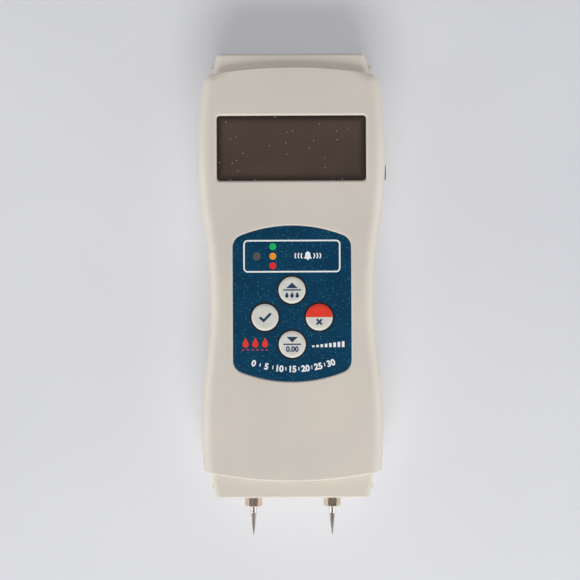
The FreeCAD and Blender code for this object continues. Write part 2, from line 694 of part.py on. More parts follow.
# ---- Back case --------------------------------------------------------------------------------------


def back_solids():
    """The back shell, its posts, the battery bay's block and sill, and the electrode holder's saddles."""
    half = common("back_half", outer_form, layer("back_layer", "-1", "parting_z - seam / 2"))
    solids = [carve("back_shell", half, inner_form)]
    inside = "wall / 2"
    for i, (x, y, end) in enumerate(POSTS):
        low = inside if end == "top" else f"neck_step + {inside}"
        solids.append(rod(f"back_post_{i}", x, y, low, "post_radius", f"parting_z - ({low})"))
    low_y = "bay_low_y - bay_low_wall"
    high_y = "bay_high_y + bay_high_wall"
    wide = "2 * bay_wall_half"
    tall = f"bay_ceiling_z + bay_ceiling - {inside}"
    solids.append(span("bay_outside", "0", low_y, high_y, inside, wide, tall))
    low_y = "bottom_y + wall"
    high_y = f"bay_low_y - {SINK}"
    solids.append(span("bay_sill", "0", low_y, high_y, inside, wide, f"bay_sill_z - {inside}"))
    low_z = f"neck_step + {inside}"
    tall = f"holder_low_z - ({low_z})"
    for side, a in SIDES.items():
        x = f"{a} * saddle_x"
        low_y = f"low_neck_y + {inside}"
        solids.append(span(f"saddle_{side}", x, low_y, "ferrule_in_y", low_z, "saddle_wide", tall))
    return solids


def door_ways():
    """The opening for the battery door, and the groove that its tongues slide in."""
    half = "(door_half + door_gap)"
    high = "door_high_y + door_gap"
    top = "door_thick + door_gap"
    opening = span("door_opening", "0", -FAR, high, "-1", f"2 * {half}", f"{top} + 1")
    low = "(tongue_low_z - door_gap)"
    wide = f"2 * ({half} + tongue_out)"
    groove = span("door_groove", "0", -FAR, f"{high} + tongue_out", low, wide, f"{top} - {low}")
    return [opening, groove]


def back_holes():
    """The rebate for the lip, the battery bay, the slots for its contacts, the screw ways and sound holes."""
    heights = layer("rebate_heights", "parting_z - lip_deep - 2 * fit", "parting_z + 1")
    holes = [carve("rebate_ring", common("rebate", rebate_form, heights), inner_form)]
    holes.append(span("bay_room", "0", "bay_low_y", "bay_high_y", "-1", "2 * bay_half", "bay_ceiling_z + 1"))
    y = f"{UPPER_PLATE} + contact_thick / 2"
    for i, (x, _) in enumerate(upper_plates(), 1):
        wide = "tab_wide + 8 * fit"
        deep = "contact_thick + 4 * fit"
        holes.append(block(f"tab_slot_{i}", x, y, "contact_low_z", wide, deep, "parting_z"))
    for i, (x, y, end) in enumerate(POSTS):
        face = "0" if end == "top" else "neck_step"
        holes.append(rod(f"screw_way_{i}", x, y, "-1", "case_screw_shank + 3 * fit", "case_height"))
        holes.append(rod(f"screw_sink_{i}", x, y, "-1", "screw_sink_radius", f"1 + {face} + screw_sink"))
    for i, (x, y) in enumerate(sound_places()):
        holes.append(rod(f"sound_hole_{i}", x, y, "-1", "sound_hole", "wall + 2"))
    return holes


def back_case():
    holes = back_holes() + door_ways() + shared_holes("back")
    part(carve("back_case", join("back_solids", *back_solids()), *holes), "back_case")


def sound_places():
    places = [("buzzer_x", "buzzer_y")]
    for i in range(6):
        turn = f"{60 * i} deg"
        places.append((f"buzzer_x + sound_ring * cos({turn})", f"buzzer_y + sound_ring * sin({turn})"))
    return places


def upper_plates():
    """Centre and width of the contacts at the bay's upper end: its two poles and a bridge between them."""
    poles = [(f"{a} * 1.5 * cell_pitch", "contact_wide") for a in (-1, 1)]
    return [poles[0], ("0", "cell_pitch + contact_wide"), poles[1]]


back_case()


def battery_door():
    """Part of the case's back, so it takes its bowed and rounded end from the outer form."""
    cut = span("door_cut", "0", -FAR, "door_high_y", "-1", "2 * door_half", "door_thick + 1")
    plate = common("door_plate", outer_form, cut)
    low_y = "bottom_y + tongue_start"
    high_y = "(door_high_y - tongue_stop)"
    wide = "2 * (door_half + tongue_out)"
    tall = "door_thick - tongue_low_z"
    sides = span("door_tongues", "0", low_y, high_y, "tongue_low_z", wide, tall)
    end = span("door_end_tongue", "0", high_y, "door_high_y + tongue_out", "tongue_low_z", "end_tongue", tall)
    cuts = []
    for i in range(GRIPS):
        y = f"grip_y + {i - (GRIPS - 1) / 2} * grip_pitch"
        cuts.append(block(f"grip_{i}", "0", y, "-1", "grip_long", "grip_groove", "1 + grip_deep"))
    arrow = [("-arrow_half", "arrow_y"), ("0", "arrow_y - arrow_long"), ("arrow_half", "arrow_y")]
    cuts.append(slab("door_arrow", arrow, "-1", "1 + arrow_deep"))
    part(carve("battery_door", join("door_solids", plate, sides, end), *cuts), "battery_door")


battery_door()

# ---- Display ----------------------------------------------------------------------------------------


def window_frame(name, x_size, y_size, low, tall, hole_x, hole_y):
    """A rectangular ring about the window's centre."""
    outside = block(f"{name}_outside", "0", "window_y", low, x_size, y_size, tall)
    hole = block(f"{name}_hole", "0", "window_y", f"{low} - 1", hole_x, hole_y, f"{tall} + 2")
    return carve(name, outside, hole)


def display():
    low = "case_height - window_seat"
    lens = slab("display_window", lens_outline("-fit"), low, "lens_thick", corner="window_corner - fit")
    part(lens, "display_window")
    bar = "2 * gasket_bar"
    outside = ("gasket_wide", "gasket_tall")
    hole = (f"gasket_wide - {bar}", f"gasket_tall - {bar}")
    gasket = window_frame("display_gasket", *outside, GLASS_TOP, "gasket_thick", *hole)
    part(gasket, "display_gasket")
    glass = block("display_glass", "0", "window_y", GLASS_UNDER, "glass_wide", "glass_tall", "glass_thick")
    part(glass, "display_glass")
    ledge = "2 * frame_ledge"
    hole = (f"glass_wide - {ledge}", f"glass_tall - {ledge}")
    tall = f"{GLASS_UNDER} + frame_rise - {BOARD_TOP}"
    ring = window_frame("frame_ring", "frame_wide", "frame_tall", BOARD_TOP, tall, *hole)
    room = ("glass_wide + 2 * fit", "glass_tall + 2 * fit", "2 * glass_thick")
    pocket = block("frame_pocket", "0", "window_y", GLASS_UNDER, *room)
    part(carve("display_frame", ring, pocket), "display_frame")
    strips = []
    for end, a in (("high", 1), ("low", -1)):
        y = f"window_y + {a} * (glass_tall / 2 - frame_ledge - strip_wide / 2)"
        tall = f"{GLASS_UNDER} - {BOARD_TOP}"
        strips.append(block(f"strip_{end}", "0", y, BOARD_TOP, "strip_long", "strip_wide", tall))
    part(group("contact_strips", strips), "contact_strips")


display()

# ---- Keypad -----------------------------------------------------------------------------------------


def keypad_panel():
    holes = [(x, y, "key_hole") for x, y in KEY_PLACES.values()]
    holes.append(("lamp_x", "lamp_y", "lamp_pane + fit / 2"))
    panel = slab("keypad_panel", panel_steps("-2 * fit"), RECESS_FLOOR, "panel_thick", holes)
    corner = lambda e: is_upright(e) and abs(e.BoundBox.Center.x) > size("panel_half") - 1
    round_edges(panel, "keypad_panel_corners", "panel_corner - 2 * fit", corner)
    part(panel, "keypad_panel")


def key(name, x, y):
    """A round key: a disc with a low ridge round a shallow dish, on a stem that reaches the switch."""
    rise = "(key_ridge_z - key_dish_z)"
    dish_bend = f"(key_ridge^2 + {rise}^2) / (2 * {rise})"
    steps = [
        ("0", "stem_low_z"),
        ("stem_radius", "stem_low_z"),
        ("stem_radius", "key_under_z"),
        ("key_disc", "key_under_z"),
        ("key_disc", "key_edge_z"),
        ("key_ridge", "key_ridge_z", "key_crown_bend", 1),
        ("0", "key_dish_z", dish_bend, -1),
    ]
    return part(bind(turned(f"key_{name}", steps), x=x, y=y), f"key_{name}")


def switches():
    """Four push switches on the board: a housing each, and a plunger that moves with its key."""
    housings = []
    for name, (x, y) in KEY_PLACES.items():
        housing = block(f"switch_box_{name}", x, y, BOARD_TOP, "switch_side", "switch_side", "switch_tall")
        bore = rod(f"switch_bore_{name}", x, y, f"{BOARD_TOP} + switch_floor", "switch_bore", "switch_tall")
        housings.append(carve(f"switch_{name}", housing, bore))
        length = "stem_low_z - plunger_low_z"
        part(rod(f"plunger_{name}", x, y, "plunger_low_z", "stem_radius", length), f"switch_plunger_{name}")
    part(group("switch_housings", housings), "switch_housings")


keypad_panel()
for key_name, key_place in KEY_PLACES.items():
    key(key_name, *key_place)
switches()


def alarm_lamp():
    pane = rod("lamp_pane", "lamp_x", "lamp_y", RECESS_FLOOR, "lamp_pane", "panel_thick")
    part(pane, "lamp_window")
    flange_top = f"{BOARD_TOP} + 1"
    steps = [
        ("0", BOARD_TOP),
        ("lamp_flange", BOARD_TOP),
        ("lamp_flange", flange_top),
        ("lamp_radius", flange_top),
        ("lamp_radius", "lamp_top_z - lamp_radius"),
        ("0", "lamp_top_z", "lamp_radius", 1),
    ]
    part(bind(turned("alarm_lamp", steps), x="lamp_x", y="lamp_y"), "alarm_lamp")


alarm_lamp()

# ---- Electronics ------------------------------------------------------------------------------------


def circuit_board():
    steps = [
        ("-board_half", "board_low_y"),
        ("board_half", "board_low_y"),
        ("board_half", "board_head_y"),
        ("board_head_half", "board_head_y"),
        ("board_head_half", "board_top_y"),
        ("-board_head_half", "board_top_y"),
        ("-board_head_half", "board_head_y"),
        ("-board_half", "board_head_y"),
    ]
    holes = [(x, y, "board_screw_shank + fit") for x, y in STANDOFFS]
    part(slab("circuit_board", steps, "board_under_z", "board_thick", holes), "circuit_board")


def main_chip():
    """A flat square chip under the board, with a row of legs along each side."""
    low = "board_under_z - chip_tall"
    pieces = [block("chip_body", "chip_x", "chip_y", low, "chip_side", "chip_side", "chip_tall")]
    low = "board_under_z - leg_tall"
    legs = ("leg_wide", "chip_side + 2 * leg_out")
    for i in range(CHIP_LEGS):
        shift = f"{i - (CHIP_LEGS - 1) / 2} * leg_pitch"
        pieces.append(block(f"legs_y_{i}", f"chip_x + {shift}", "chip_y", low, *legs, "leg_tall"))
        pieces.append(block(f"legs_x_{i}", "chip_x", f"chip_y + {shift}", low, *reversed(legs), "leg_tall"))
    part(join("main_chip", *pieces), "main_chip")


# Width, depth and height of the packages, in millimetres.
PACKAGES = {
    "wide_chip": (8, 5, 1.5),
    "chip": (5, 4, 1.5),
    "narrow_chip": (6, 3.2, 1.2),
    "upright_chip": (4, 5, 1.5),
    "crystal": (6, 5, 1.7),
    "resistor": (3, 1.6, 0.8),
    "upright_resistor": (1.6, 3, 0.8),
}
# Package, x and y. The display, the keys, the lamp, the socket and the buzzer take up the rest of the board.
TOP_PARTS = [
    ("chip", -16, 3),
    ("narrow_chip", -15, -16),
    ("upright_chip", 15.5, 6),
    ("resistor", 14, 17),
    ("upright_resistor", 9, 19),
    ("resistor", 3, 14),
    ("upright_resistor", -4, 19),
    ("resistor", 16, -20),
    ("crystal", 0, -24),
    ("resistor", -9, -30),
    ("resistor", 9, -30),
    ("wide_chip", 0, -38),
    ("chip", -12, -44),
    ("chip", 12, -44),
]
UNDER_PARTS = [
    ("resistor", -18, 12),
    ("wide_chip", -12, 40),
    ("chip", 2, 38),
    ("resistor", -20, 50),
    ("resistor", 8, 52),
    ("chip", -2, 8),
]
CANS = [6, 13]  # stations of the two round capacitors


def board_parts():
    """The small parts on both sides of the board."""
    pieces = []
    for i, (package, x, y) in enumerate(TOP_PARTS):
        pieces.append(block(f"top_part_{i}", x, y, BOARD_TOP, *PACKAGES[package]))
    for i, (package, x, y) in enumerate(UNDER_PARTS):
        tall = PACKAGES[package][2]
        pieces.append(block(f"under_part_{i}", x, y, f"board_under_z - {tall}", *PACKAGES[package]))
    for i, y in enumerate(CANS):
        pieces.append(rod(f"capacitor_{i}", "can_x", y, "board_under_z - can_tall", "can_radius", "can_tall"))
    part(group("board_parts", pieces), "board_parts")


def buzzer():
    low = "board_under_z - buzzer_tall"
    can = rod("buzzer_can", "buzzer_x", "buzzer_y", low, "buzzer_radius", "buzzer_tall")
    mouth = rod("buzzer_mouth", "buzzer_x", "buzzer_y", f"{low} - 1", "buzzer_mouth", "3 * buzzer_mouth")
    part(carve("buzzer", can, mouth), "buzzer")


def probe_jack():
    """A socket for the plug of an outside probe, with its collar through the side of the case."""
    low_y = "jack_y - jack_wide / 2"
    high_y = "jack_y + jack_wide / 2"
    middle = "(jack_shoulder_x + jack_in_x) / 2"
    long = "jack_shoulder_x - jack_in_x"
    box = span("jack_box", middle, low_y, high_y, "jack_low_z", long, "board_under_z - jack_low_z")
    collar_long = "jack_out_x - jack_shoulder_x + 1"
    collar = rod("jack_tube", "jack_shoulder_x - 1", "jack_y", "parting_z", "jack_collar", collar_long, "x")
    bore = rod("jack_hollow", "jack_bore_x", "jack_y", "parting_z", "jack_bore", "jack_out_x", "x")
    part(carve("probe_jack", join("jack_solid", box, collar), bore), "probe_jack")


circuit_board()
main_chip()
board_parts()
buzzer()
probe_jack()

# ---- Power ------------------------------------------------------------------------------------------


def battery(number):
    """An AAA cell along Y. Odd cells have their button at the upper end, even cells at the lower end."""
    up = number % 2 == 1
    shoulder = "(cell_long - cell_button_tall)"
    steps = [
        ("0", "0"),
        ("cell_radius - cell_edge", "0"),
        ("cell_radius", "cell_edge", "cell_edge", 1),
        ("cell_radius", f"{shoulder} - cell_edge"),
        ("cell_radius - cell_edge", shoulder, "cell_edge", 1),
        ("cell_button", shoulder),
        ("cell_button", "cell_long"),
        ("0", "cell_long"),
    ]
    cell = turned(f"battery_{number}", steps, "XY_Plane")
    cell.Placement.Rotation = Rotation(Vector(0, 0, 1), 0 if up else 180)
    base = f"{UPPER_PLATE} - cell_long" if up else f"{LOWER_PLATE} + cell_long"
    bind(cell, x=f"{number - 2.5} * cell_pitch", y=base, z="cell_z")
    part(cell, f"battery_{number}")


def battery_springs():
    """A coil spring at the flat end of each cell, narrowing from its contact to the cell."""
    turns = [f"Edge{i}" for i in range(1, math.ceil(size("coil_long / coil_pitch")) + 1)]
    springs = []
    for number in range(1, 5):
        at_low_end = number % 2 == 1
        coil = doc.addObject("Part::Helix", f"coil_path_{number}")
        bind(coil, Pitch="coil_pitch", Height="coil_long", Radius="coil_radius")
        coil.setExpression("Angle", "-" + qualified("coil_lean * 1 deg"))
        coil.SegmentLength = 1
        wire = doc.addObject("Part::Circle", f"coil_wire_{number}")
        wire.Placement.Rotation = Rotation(Vector(1, 0, 0), 90)
        bind(wire, Radius="coil_wire", x="coil_radius")
        spring = doc.addObject("Part::Sweep", f"spring_{number}")
        spring.Sections = [wire]
        spring.Spine = (coil, turns)
        spring.Solid = True
        spring.Frenet = True
        spring.Placement.Rotation = Rotation(Vector(1, 0, 0), -90 if at_low_end else 90)
        lift = "coil_wire + 2 * fit"
        base = f"{LOWER_PLATE} + {lift}" if at_low_end else f"{UPPER_PLATE} - ({lift})"
        bind(spring, x=f"{number - 2.5} * cell_pitch", y=base, z="cell_z")
        springs.append(spring)
    part(group("battery_springs", springs), "battery_springs")


def battery_contacts():
    upper = []
    for i, (x, wide) in enumerate(upper_plates(), 1):
        y = f"{UPPER_PLATE} + contact_thick / 2"
        plate = block(f"upper_plate_{i}", x, y, "contact_low_z", wide, "contact_thick", "contact_tall")
        tab = block(f"upper_tab_{i}", x, y, "cell_z", "tab_wide", "contact_thick", "board_under_z - cell_z")
        upper.append(join(f"upper_contact_{i}", plate, tab))
    part(group("upper_contacts", upper), "upper_contacts")
    lower = []
    plate_size = ("cell_pitch + contact_wide", "contact_thick", "contact_tall")
    for side, a in SIDES.items():
        y = "bay_low_y + contact_thick / 2"
        lower.append(block(f"lower_plate_{side}", f"{a} * cell_pitch", y, "contact_low_z", *plate_size))
    part(group("lower_contacts", lower), "lower_contacts")


for cell_number in range(1, 5):
    battery(cell_number)
battery_springs()
battery_contacts()

# ---- Electrodes -------------------------------------------------------------------------------------


def electrode_holder():
    wide = "2 * holder_half"
    body = span("holder_block", "0", "holder_out_y", "ferrule_in_y", "holder_low_z", wide, "holder_tall")
    start = "holder_out_y - 1"
    bores = []
    for side, x in PINS.items():
        bores.append(rod(f"holder_bore_{side}", x, start, "parting_z", "ferrule", "holder_tall", "y"))
    part(carve("electrode_holder", body, *bores), "electrode_holder")


def pin_socket(side, x):
    """The blind socket that a needle's shank sits in."""
    long = "ferrule_in_y - pin_shoulder_y"
    body = rod(f"socket_{side}", x, "pin_shoulder_y", "parting_z", "ferrule", long, "y")
    start = "pin_shoulder_y - 1"
    bore = rod(f"socket_bore_{side}", x, start, "parting_z", "pin_shank + fit", f"pin_in_y - ({start})", "y")
    part(carve(f"pin_socket_{side}", body, bore), f"pin_socket_{side}")


def needle(side, x):
    """A needle: a shank in its socket and nut, a thinner straight part and a swelling point."""
    steps = [
        ("0", "pin_in_y"),
        ("0", "pin_tip_y"),
        ("pin_tip", "pin_tip_y + pin_tip", "pin_tip", 1),
        ("pin_radius", "pin_straight_y", "pin_point_bend", 1),
        ("pin_radius", NUT_FACE_Y),
        ("pin_shank", NUT_FACE_Y),
        ("pin_shank", "pin_in_y"),
    ]
    part(bind(turned(f"pin_{side}", steps, "XY_Plane"), x=x, z="parting_z"), f"pin_{side}")


def pin_nut(side, x):
    """The hex nut that grips a needle, with its outer corners bevelled."""
    corner = "nut_flats / 2 / cos(30 deg)"
    hexagon = doc.addObject("Part::Prism", f"nut_hexagon_{side}")
    hexagon.Polygon = 6
    hexagon.Placement.Rotation = TURNS["y"]
    bind(hexagon, Circumradius=corner, Height="nut_tall", x=x, y=NUT_FACE_Y, z="parting_z")
    beyond = f"{corner} + 2 * fit"
    bevel = [
        ("0", NUT_FACE_Y),
        ("nut_face", NUT_FACE_Y),
        (beyond, f"{NUT_FACE_Y} + nut_bevel"),
        (beyond, "pin_shoulder_y"),
        ("0", "pin_shoulder_y"),
    ]
    envelope = bind(turned(f"nut_envelope_{side}", bevel, "XY_Plane"), x=x, z="parting_z")
    start = f"{NUT_FACE_Y} - 1"
    hole = rod(f"nut_bore_{side}", x, start, "parting_z", "pin_shank + fit", "2 * nut_tall", "y")
    part(carve(f"pin_nut_{side}", common(f"nut_solid_{side}", hexagon, envelope), hole), f"pin_nut_{side}")


def electrode_lead(side, x):
    """The wire from a socket, up over the battery bay and into the underside of the board."""
    corners = [
        ("ferrule_in_y", "parting_z"),
        ("lead_turn_y", "parting_z"),
        ("lead_level_y", "lead_z"),
        ("lead_end_y", "lead_z"),
        ("lead_end_y", "board_under_z"),
    ]
    bends = [size("lead_bend"), size("lead_bend"), size("lead_end_bend")]
    points = [Vector(size(x), size(y), size(z)) for y, z in corners]
    wire = Part.makeCircle(size("lead_radius"), points[0], Vector(0, 1, 0))
    lead = doc.addObject("Part::Feature", f"electrode_lead_{side}")
    lead.Shape = rounded_path(points, bends).makePipeShell([Part.Wire(wire)], True, True)
    part(lead, f"electrode_lead_{side}")


def rounded_path(points, bends):
    """Straight runs joined by tangent arcs."""
    edges = []
    start = points[0]
    for before, corner, after, bend in zip(points, points[1:], points[2:], bends):
        back = (before - corner).normalize()
        ahead = (after - corner).normalize()
        half = back.getAngle(ahead) / 2
        reach = bend / math.tan(half)
        middle = corner + (back + ahead).normalize() * (bend / math.sin(half) - bend)
        edges.append(Part.LineSegment(start, corner + back * reach).toShape())
        edges.append(Part.Arc(corner + back * reach, middle, corner + ahead * reach).toShape())
        start = corner + ahead * reach
    edges.append(Part.LineSegment(start, points[-1]).toShape())
    return Part.Wire(edges)


electrode_holder()
for pin_side, pin_place in PINS.items():
    pin_socket(pin_side, pin_place)
    needle(pin_side, pin_place)
    pin_nut(pin_side, pin_place)
    electrode_lead(pin_side, pin_place)

# ---- Fasteners --------------------------------------------------------------------------------------


def screw(kind, number, x, y, seat):
    """A pan-head screw driven upwards, its head under the seat, with a cross recess."""
    name = f"{kind}_{number}"
    shank = f"{kind}_shank"
    head = f"{kind}_head"
    tall = f"{kind}_tall"
    tip = f"{kind}_tip_z"
    face = f"({seat} - {tall})"
    round_over = f"{head} * 0.4"
    steps = [
        ("0", face),
        (f"{head} - {round_over}", face),
        (head, f"{face} + {round_over}", round_over, 1),
        (head, seat),
        (shank, seat),
        (shank, f"{tip} - {shank}"),
        ("0", tip),
    ]
    body = bind(turned(name, steps), x=x, y=y)
    narrow = f"{head} * 0.3"
    wide = f"{head} * 1.2"
    deep = f"1 + {tall} * 0.6"
    arms = [block(f"{name}_arm_x", x, y, f"{face} - 1", wide, narrow, deep)]
    arms.append(block(f"{name}_arm_y", x, y, f"{face} - 1", narrow, wide, deep))
    return carve(f"{name}_crossed", body, *arms)


def fasteners():
    case = []
    for i, (x, y, end) in enumerate(POSTS):
        seat = "screw_sink" if end == "top" else "(neck_step + screw_sink)"
        case.append(screw("case_screw", i, x, y, seat))
    part(group("case_screws", case), "case_screws")
    board = [screw("board_screw", i, x, y, "board_under_z") for i, (x, y) in enumerate(STANDOFFS)]
    part(group("board_screws", board), "board_screws")


fasteners()

# ---- Check and write --------------------------------------------------------------------------------

doc.recompute()
for item in doc.Objects:
    if "Invalid" in item.State or "Error" in item.State:
        raise RuntimeError(f"{item.Name} ({item.Label}) failed: {item.State}")
for item in parts:
    if item.Shape.isNull() or not item.Shape.isValid():
        raise RuntimeError(f"{item.Label} has no valid shape")

os.makedirs("parts", exist_ok=True)
for item in parts:
    item.Shape.exportStep(f"parts/{item.Label}.step")
    print(f"{item.Label:24} {len(item.Shape.Solids)} solid(s) {item.Shape.Volume:10.2f} mm3")
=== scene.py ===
"""Looks of the pin-type moisture meter: its finishes, printed marks, floor, light and camera.

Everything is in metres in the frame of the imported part: +Z out of the meter's face, +Y to its display end.
Marks are drawn in millimetres and turned into metres when their mesh is made.
"""

import math

import bmesh
import bpy
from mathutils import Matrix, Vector


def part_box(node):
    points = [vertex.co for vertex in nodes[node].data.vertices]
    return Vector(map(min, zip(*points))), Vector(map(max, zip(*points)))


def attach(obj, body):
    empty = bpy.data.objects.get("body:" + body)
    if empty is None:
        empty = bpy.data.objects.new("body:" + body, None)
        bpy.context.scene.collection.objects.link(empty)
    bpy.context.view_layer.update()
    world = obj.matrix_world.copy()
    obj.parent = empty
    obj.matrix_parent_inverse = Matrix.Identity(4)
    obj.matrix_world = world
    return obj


MM = 0.001
KEYS = ("up", "down", "set", "esc")
SQUARE = ((-1, -1), (1, -1), (1, 1), (-1, 1))  # corners of a square about the origin, counter-clockwise

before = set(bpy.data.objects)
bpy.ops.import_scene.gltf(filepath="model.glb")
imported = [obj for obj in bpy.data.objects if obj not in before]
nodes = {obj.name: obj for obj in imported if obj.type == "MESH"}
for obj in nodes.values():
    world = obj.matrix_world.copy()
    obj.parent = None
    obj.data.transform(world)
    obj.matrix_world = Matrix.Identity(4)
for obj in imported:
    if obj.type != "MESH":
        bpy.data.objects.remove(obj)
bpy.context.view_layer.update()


def centre(node):
    low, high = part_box(node)
    return (low + high) / 2


def tint(red, green, blue):
    """A colour in display values from 0 to 255, as the linear colour that a shader wants."""
    shares = [value / 255 for value in (red, green, blue)]
    curve = [s / 12.92 if s <= 0.04045 else ((s + 0.055) / 1.055) ** 2.4 for s in shares]
    return (*curve, 1.0)


# ---- Finishes ------------------------------------------------------------------------------------


class Finish:
    """A node-based material: one Principled shader, and nodes that vary its colour, gloss and relief.

    Textures run on the piece's own coordinates in millimetres, so they stay on it as it moves.
    """

    def __init__(self, name, **constants):
        self.material = bpy.data.materials.new(name)
        self.material.use_nodes = True
        self.tree = self.material.node_tree
        self.tree.nodes.clear()
        self.shader = self.node("ShaderNodeBsdfPrincipled")
        output = self.node("ShaderNodeOutputMaterial")
        self.link(self.shader.outputs["BSDF"], output.inputs["Surface"])
        for socket, value in constants.items():
            self.shader.inputs[socket.replace("_", " ")].default_value = value
        coordinates = self.node("ShaderNodeTexCoord").outputs["Object"]
        scale = self.node("ShaderNodeVectorMath", operation="SCALE")
        scale.inputs["Scale"].default_value = 1 / MM
        self.link(coordinates, scale.inputs[0])
        self.place = scale.outputs["Vector"]
        self.relief = None

    def node(self, kind, **settings):
        made = self.tree.nodes.new(kind)
        for key, value in settings.items():
            setattr(made, key, value)
        return made

    def link(self, output, socket):
        self.tree.links.new(output, socket)

    def feed(self, socket, value):
        """Links an output to a socket, or sets the socket to a constant."""
        if isinstance(value, bpy.types.NodeSocket):
            self.link(value, socket)
        else:
            socket.default_value = value

    def stretched(self, stretch):
        """The coordinates with each axis scaled, for a texture that runs along one of them."""
        product = self.node("ShaderNodeVectorMath", operation="MULTIPLY")
        self.link(self.place, product.inputs[0])
        product.inputs[1].default_value = stretch
        return product.outputs["Vector"]

    def noise(self, per_mm, detail=2.0, stretch=(1, 1, 1)):
        texture = self.node("ShaderNodeTexNoise")
        self.link(self.stretched(stretch), texture.inputs["Vector"])
        texture.inputs["Scale"].default_value = per_mm
        texture.inputs["Detail"].default_value = detail
        return texture.outputs["Fac"]

    def specks(self, per_mm, size, share):
        """1 in small round specks, size in mm across, in a share of the cells of a grid; 0 elsewhere."""
        cells = self.node("ShaderNodeTexVoronoi", voronoi_dimensions="3D")
        self.link(self.place, cells.inputs["Vector"])
        cells.inputs["Scale"].default_value = per_mm
        near = self.calc("LESS_THAN", cells.outputs["Distance"], size * per_mm / 2)
        parts = self.node("ShaderNodeSeparateColor")
        self.link(cells.outputs["Color"], parts.inputs["Color"])
        chosen = self.calc("LESS_THAN", parts.outputs["Red"], share)
        return self.calc("MULTIPLY", near, chosen)

    def calc(self, operation, first, second=0.0, third=0.0):
        step = self.node("ShaderNodeMath", operation=operation)
        for socket, value in zip(step.inputs, (first, second, third)):
            self.feed(socket, value)
        return step.outputs["Value"]

    def axis(self, name):
        """One coordinate, in mm."""
        parts = self.node("ShaderNodeSeparateXYZ")
        self.link(self.place, parts.inputs["Vector"])
        return parts.outputs[name]

    def inside(self, name, low, high):
        """How far, in mm, a point is inside a range of one coordinate."""
        value = self.axis(name)
        from_low = self.calc("SUBTRACT", value, low)
        return self.calc("MINIMUM", from_low, self.calc("SUBTRACT", high, value))

    def span(self, value, low, high, to_low=0.0, to_high=1.0):
        """The value carried smoothly from one range to another."""
        step = self.node("ShaderNodeMapRange", interpolation_type="SMOOTHSTEP")
        names = ("Value", "From Min", "From Max", "To Min", "To Max")
        for socket, setting in zip(names, (value, low, high, to_low, to_high)):
            self.feed(step.inputs[socket], setting)
        return step.outputs["Result"]

    def blend(self, factor, first, second):
        """A colour between two colours."""
        step = self.node("ShaderNodeMix", data_type="RGBA")
        self.feed(step.inputs["Factor"], factor)
        colours = [socket for socket in step.inputs if socket.type == "RGBA"]
        self.feed(colours[0], first)
        self.feed(colours[1], second)
        return next(socket for socket in step.outputs if socket.type == "RGBA")

    def edges(self, radius):
        """1 on edges sharper than the radius, in mm, and 0 on flat and gently curved faces."""
        bevel = self.node("ShaderNodeBevel", samples=4)
        bevel.inputs["Radius"].default_value = radius * MM
        product = self.node("ShaderNodeVectorMath", operation="DOT_PRODUCT")
        self.link(bevel.outputs["Normal"], product.inputs[0])
        self.link(self.node("ShaderNodeNewGeometry").outputs["Normal"], product.inputs[1])
        return self.span(product.outputs["Value"], 0.97, 0.8)

    def colour(self, value):
        self.feed(self.shader.inputs["Base Color"], value)
        return self

    def roughness(self, value):
        self.feed(self.shader.inputs["Roughness"], value)
        return self

    def bump(self, height, deep):
        """Adds relief: the height from 0 to 1 stands for this depth in mm."""
        step = self.node("ShaderNodeBump")
        step.inputs["Distance"].default_value = deep * MM
        self.link(height, step.inputs["Height"])
        if self.relief:
            self.link(self.relief, step.inputs["Normal"])
        self.relief = step.outputs["Normal"]
        self.link(self.relief, self.shader.inputs["Normal"])
        return self


def moulded(name, dark, light, roughness, grain=4.0, deep=0.006, **constants):
    """Moulded plastic or rubber: slightly uneven in colour and gloss, with a fine grain."""
    finish = Finish(name, **constants)
    cloud = finish.noise(0.06, 3.0)
    fine = finish.noise(grain, 2.0)
    mixed = finish.calc("MULTIPLY_ADD", fine, 0.35, finish.calc("MULTIPLY", cloud, 0.65))
    finish.colour(finish.blend(finish.span(mixed, 0.3, 0.7), dark, light))
    finish.roughness(finish.span(cloud, 0.3, 0.7, roughness - 0.04, roughness + 0.04))
    return finish.bump(fine, deep)


def metal(name, dark, light, roughness, stretch=(1, 1, 1), lines=6.0, deep=0.004):
    """Plated or drawn metal with fine machining lines along one direction."""
    finish = Finish(name, Metallic=1.0)
    fine = finish.noise(lines, 3.0, stretch)
    cloud = finish.noise(0.3, 2.0)
    finish.colour(finish.blend(finish.span(cloud, 0.3, 0.7), dark, light))
    finish.roughness(finish.span(fine, 0.25, 0.75, roughness - 0.06, roughness + 0.1))
    return finish.bump(fine, deep)


WELL_SHADE_RADIUS = 4.8  # radius of the painted shade, in black, round a key's stem, in mm


def case_finish():
    """Warm light grey moulded plastic with a fine spark-eroded grain, glossier edges and a painted highlight
    that lightens its edges.
    """
    finish = Finish("case_plastic", Specular_IOR_Level=0.42)
    cloud = finish.noise(0.035, 2.0)
    fine = finish.noise(3.2, 3.0)
    body = finish.blend(finish.span(cloud, 0.3, 0.7), tint(205, 198, 188), tint(211, 203, 192))
    grained = finish.blend(finish.span(fine, 0.25, 0.75, 0.0, 0.10), body, tint(176, 168, 158))
    # Painted highlight: the edges are painted lighter. They are also made glossier.
    edge_gloss_and_highlight = finish.edges(0.75)
    colour_with_painted_highlight = finish.blend(finish.calc("MULTIPLY", edge_gloss_and_highlight, 0.8), grained, tint(236, 230, 220))
    # The key wells are painted near black, a painted shade in the gaps round the keys.
    finish.colour(finish.blend(key_wells(finish), colour_with_painted_highlight, tint(16, 17, 19)))
    finish.roughness(finish.span(edge_gloss_and_highlight, 0.0, 1.0, 0.44, 0.3))
    return finish.bump(fine, 0.012).bump(finish.noise(0.9, 2.0), 0.008)


